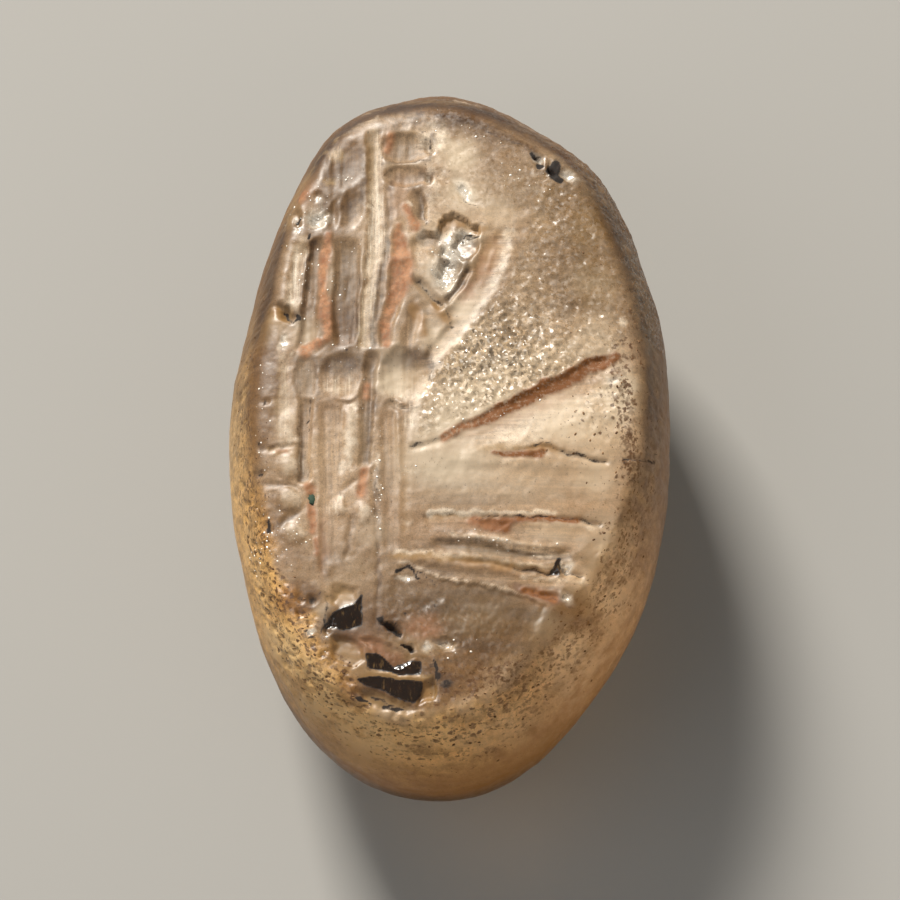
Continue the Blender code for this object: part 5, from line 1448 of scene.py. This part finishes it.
def lay_earth(f):
    """Red earth, which is more orange and lies thicker on the right, and yellow earth."""
    earth = f.mix(f.between(f.mottle, 0.36, 0.62), EARTH_DEEP, EARTH_PALE)
    earth = f.mix(f.between(f.sideways, -0.0004, 0.002, 0.0, 0.95), earth, EARTH_RIGHT)
    crumbly = f.between(f.finer, 0.34, 0.6, 0.5, 1.05)
    thicker = f.between(f.sideways, 0.0, 0.0015, 1.0, 1.35)
    f.coat(f.times(f["ochre"], crumbly, thicker), earth)
    f.coat(f.times(f["honey"], 0.8), HONEY)


def lay_breaks(f):
    """Silvery chips with painted white glitter, black marks that are partly painted shadow, the windows
    painted black, the hairs in the dark windows, and the calm back.
    """
    # Painted white glitter on freshly broken crystal.
    glitter = f.between(f.finer, 0.3, 0.6, 0.55, 0.95)
    f.coat(f.times(f["silver"], glitter), SILVER_GLINT)
    ragged = f.between(f.finer, 0.3, 0.7, -0.08, 0.08)
    # Black marks: partly holes and cracks, partly painted shadow, with the windows painted black.
    f.dark = f.between(f.plus(f["dark"], ragged), 0.28, 0.62)
    f.coat(f.dark, BLACK_AND_SHADOW)
    hairs = f.between(f.streaks(14000, 2, (1, 0.2, 1)), 0.55, 0.68)
    patches = f.between(f.fine, 0.42, 0.62)
    f.coat(f.times(f["fresh"], hairs, patches, 0.7), HAIR)
    f.coat(f.times(f["back"], 0.8), BACK)


def roughness(f):
    """How dull each part of the surface is, where the later parts lie over the earlier ones."""
    rough = f.greater(f["pecked"], f["frosted"])
    facet = f.between(f.part(f.chips, "Z"), -0.5, 0.3, 0.14, 0.56)
    sheen = f.between(f.fine, 0.3, 0.7, 0.4, 0.52)
    for share, value in (
        (f["cuts"], 0.56),
        (rough, facet),
        (f["ochre"], 0.75),
        (f["silver"], 0.16),
        (f.dark, 0.9),
        (f["fresh"], 0.12),
    ):
        sheen = f.mix_numbers(share, sheen, value)
    return sheen


def surface_lean(f):
    """Fine waves, and small broken faces where the stone was pecked or chipped."""
    waves = f.bump(f.times(f.fine, f.plus(0.35, f["flank"])), WAVE_HEIGHT)
    chipped = f.times(f["silver"], 0.45)
    lean = f.greater(f.times(f["pecked"], 0.9), chipped)
    return f.tilted(waves, f.chips, f.greater(lean, f.times(f["frosted"], 0.3)))


def crystal_finish():
    f = CrystalFinish()
    lay_ground(f)
    lay_marks(f)
    lay_grain(f)
    lay_painted_light_and_shade(f)
    lay_pits(f)
    lay_earth(f)
    lay_breaks(f)
    return f.shade(
        Base_Color=f.tone,
        Roughness=roughness(f),
        Normal=surface_lean(f),
        Transmission_Weight=0.52,
        IOR=1.544,
        Specular_IOR_Level=0.45,
    )


def grain_finish(name, one, other, roughness):
    f = Finish(name)
    tone = f.mix(f.between(f.noise(2500, 3), 0.4, 0.6), one, other)
    return f.shade(Base_Color=tone, Roughness=roughness, Normal=f.bump(f.noise(9000, 3), WAVE_HEIGHT))


# ----------------------------------------
# Grains strewn over the crystal
# ----------------------------------------


def strewing_tree():
    """A tree that strews small stones over a surface, along its rim and half sunk in it."""
    tree = bpy.data.node_groups.new("strewing", "GeometryNodeTree")
    for label, kind in (
        ("Surface", "Geometry"),
        ("Where", "String"),
        ("Finish", "Material"),
        ("Spacing", "Float"),
        ("Crowding", "Float"),
        ("Smallest", "Float"),
        ("Largest", "Float"),
        ("Length", "Float"),
        ("Thickness", "Float"),
        ("Seed", "Int"),
    ):
        tree.interface.new_socket(label, in_out="INPUT", socket_type="NodeSocket" + kind)
    tree.interface.new_socket("Stones", in_out="OUTPUT", socket_type="NodeSocketGeometry")
    given = tree.nodes.new("NodeGroupInput").outputs

    def add(kind, inputs, **settings):
        return add_node(tree, kind, inputs, **settings).outputs

    def attribute(name, kind):
        return add("GeometryNodeInputNamedAttribute", {"Name": name}, data_type=kind)["Attribute"]

    def chance(low, high, seed):
        return add("FunctionNodeRandomValue", {2: low, 3: high, "Seed": seed}, data_type="FLOAT")[1]

    def math_node(operation, a, b):
        return add("ShaderNodeMath", {0: a, 1: b}, operation=operation)[0]

    share, around = attribute(given["Where"], "FLOAT"), attribute("around", "FLOAT_VECTOR")
    points = add(
        "GeometryNodeDistributePointsOnFaces",
        {
            "Mesh": given["Surface"],
            "Distance Min": given["Spacing"],
            "Density Max": given["Crowding"],
            "Density Factor": share,
            "Seed": given["Seed"],
        },
        distribute_method="POISSON",
    )
    # Each stone lies along the rim, turned a little about the normal.
    axes = {"Primary Axis": points["Normal"], "Secondary Axis": around}
    facing = add("FunctionNodeAxesToRotation", axes)["Rotation"]
    spin = add("ShaderNodeCombineXYZ", {"Z": chance(-0.5, 0.5, 5)})["Vector"]
    turns = {"Rotation": facing, "Rotate By": spin}
    facing = add("FunctionNodeRotateRotation", turns, rotation_space="LOCAL")["Rotation"]
    # Most stones are small and a few are large.
    size = math_node("POWER", chance(0.0, 1.0, 9), 3.0)
    span = {"Value": size, "To Min": given["Smallest"], "To Max": given["Largest"]}
    size = add("ShaderNodeMapRange", span)["Result"]
    long_side = math_node("MULTIPLY", size, given["Length"])
    thin_side = math_node("MULTIPLY", size, given["Thickness"])
    sizes = add("ShaderNodeCombineXYZ", {"X": long_side, "Y": size, "Z": thin_side})["Vector"]
    stone = add("GeometryNodeMeshIcoSphere", {"Radius": 1.0, "Subdivisions": 1})["Mesh"]
    stones = add(
        "GeometryNodeInstanceOnPoints",
        {"Points": points["Points"], "Instance": stone, "Rotation": facing, "Scale": sizes},
    )["Instances"]
    stones = add("GeometryNodeRealizeInstances", {"Geometry": stones})["Geometry"]
    stones = add("GeometryNodeSetMaterial", {"Geometry": stones, "Material": given["Finish"]})["Geometry"]
    tree.links.new(stones, tree.nodes.new("NodeGroupOutput").inputs["Stones"])
    return tree


# ----------------------------------------
# The pieces
# ----------------------------------------


def placed(name, data):
    """A new object in the scene, at the origin."""
    thing = bpy.data.objects.new(name, data)
    bpy.context.scene.collection.objects.link(thing)
    return thing


def dressed(piece, finish):
    """Gives a piece its finish, and makes it part of the object."""
    piece.data.materials.clear()
    piece.data.materials.append(finish)
    piece.data.shade_smooth()
    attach(piece, "root")
    return piece


def strew(name, tree, surface, finish, **inputs):
    """Strews stones over the surface as one plain mesh."""
    piece = placed(name, surface.data)
    strewn = piece.modifiers.new("strewing", "NODES")
    strewn.node_group = tree
    inputs["Finish"] = finish
    for item in tree.interface.items_tree:
        if item.item_type == "SOCKET" and item.in_out == "INPUT" and item.name in inputs:
            strewn[item.identifier] = inputs[item.name]
    bpy.context.view_layer.update()
    seen = piece.evaluated_get(bpy.context.evaluated_depsgraph_get())
    mesh = bpy.data.meshes.new_from_object(seen)
    piece.modifiers.remove(strewn)
    for layer in [a.name for a in mesh.attributes if not a.is_required and not a.is_internal]:
        mesh.attributes.remove(mesh.attributes[layer])
    mesh.name = name
    piece.data = mesh
    return dressed(piece, finish)


# ----------------------------------------
# The table, the light and the camera
# ----------------------------------------

CAMERA_LENS = 200
SENSOR = 36
FRAME_WIDTH = 30.0  # mm across the picture at the seal
CAMERA_ELEVATION = 68
AIM = Vector((0.02 * MM, -0.31 * MM, GIRTH_HEIGHT * MM))
FLOOR_HALF = 0.6  # metres
FLOOR_TONE = (0.31, 0.304, 0.29)
SKY_TONE, SKY_STRENGTH = (0.96, 0.94, 0.9), 0.28
# Lamps: name, bearing and elevation in degrees, distance and size in metres, watts, colour.
LAMPS = (
    ("key", 116, 36, 0.5, 0.14, 5.4, (1.0, 0.95, 0.87)),
    ("fill", 200, 40, 0.35, 0.25, 0.25, (0.95, 0.97, 1.0)),
    ("low_fill", -60, 30, 0.35, 0.3, 0.16, (1.0, 0.93, 0.84)),
)


def make_floor():
    sheet = bmesh.new()
    bmesh.ops.create_grid(sheet, x_segments=1, y_segments=1, size=FLOOR_HALF)
    mesh = bpy.data.meshes.new("floor")
    sheet.to_mesh(mesh)
    sheet.free()
    finish = Finish("pale_floor").shade(Base_Color=FLOOR_TONE, Roughness=0.6, Specular_IOR_Level=0.0)
    mesh.materials.append(finish)
    floor = placed("floor", mesh)


def stand_off(holder, bearing, elevation, distance):
    """Moves a lamp or camera to a distance from the seal, facing it."""
    b, e = math.radians(bearing), math.radians(elevation)
    toward = Vector((math.cos(b) * math.cos(e), math.sin(b) * math.cos(e), math.sin(e)))
    holder.location = AIM + toward * distance
    holder.rotation_euler = toward.to_track_quat("Z", "Y").to_euler()


def make_lamp(name, bearing, elevation, distance, size, power, colour):
    """A soft square lamp that faces the seal."""
    lamp = bpy.data.lights.new(name, "AREA")
    lamp.size = size
    lamp.energy = power
    lamp.color = colour
    stand_off(placed(name, lamp), bearing, elevation, distance)


def make_sky():
    world = bpy.data.worlds.new("studio")
    world.use_nodes = True
    sky = world.node_tree.nodes["Background"].inputs
    sky["Color"].default_value = (*SKY_TONE, 1)
    sky["Strength"].default_value = SKY_STRENGTH
    bpy.context.scene.world = world
    bpy.context.scene.view_settings.view_transform = "Standard"


def make_camera():
    lens = bpy.data.cameras.new("camera")
    lens.lens = CAMERA_LENS
    lens.sensor_width = SENSOR
    lens.clip_start = 0.01
    holder = placed("camera", lens)
    stand_off(holder, -90, CAMERA_ELEVATION, CAMERA_LENS / SENSOR * FRAME_WIDTH * MM)
    bpy.context.scene.camera = holder


crystal = dressed(placed("crystal", crystal_mesh()), crystal_finish())
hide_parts("seal")
green_finish = grain_finish("green_speck", *COPPER_GREEN)
dressed(placed("green_speck", speck_mesh(SPECK_PLACE, SPECK_HALF_SIZES)), green_finish)

tree = strewing_tree()
strew(
    "dark_grains",
    tree,
    crystal,
    grain_finish("dark_grains", *DARK_GRAIN),
    Where="grains",
    Spacing=0.16 * MM,
    Crowding=14 / MM**2,
    Smallest=0.014 * MM,
    Largest=0.042 * MM,
    Length=1.7,
    Thickness=0.3,
    Seed=3,
)
# Near white bits strewn where small glints show: painted glints.
strew(
    "pale_glint_crumbs",
    tree,
    crystal,
    grain_finish("pale_glint_crumbs", *PALE_GLINT_CRUMB),
    Where="glint_crumbs",
    Spacing=0.1 * MM,
    Crowding=30 / MM**2,
    Smallest=0.01 * MM,
    Largest=0.042 * MM,
    Length=1.3,
    Thickness=0.6,
    Seed=8,
)

make_floor()
for lamp in LAMPS:
    make_lamp(*lamp)
make_sky()
make_camera()
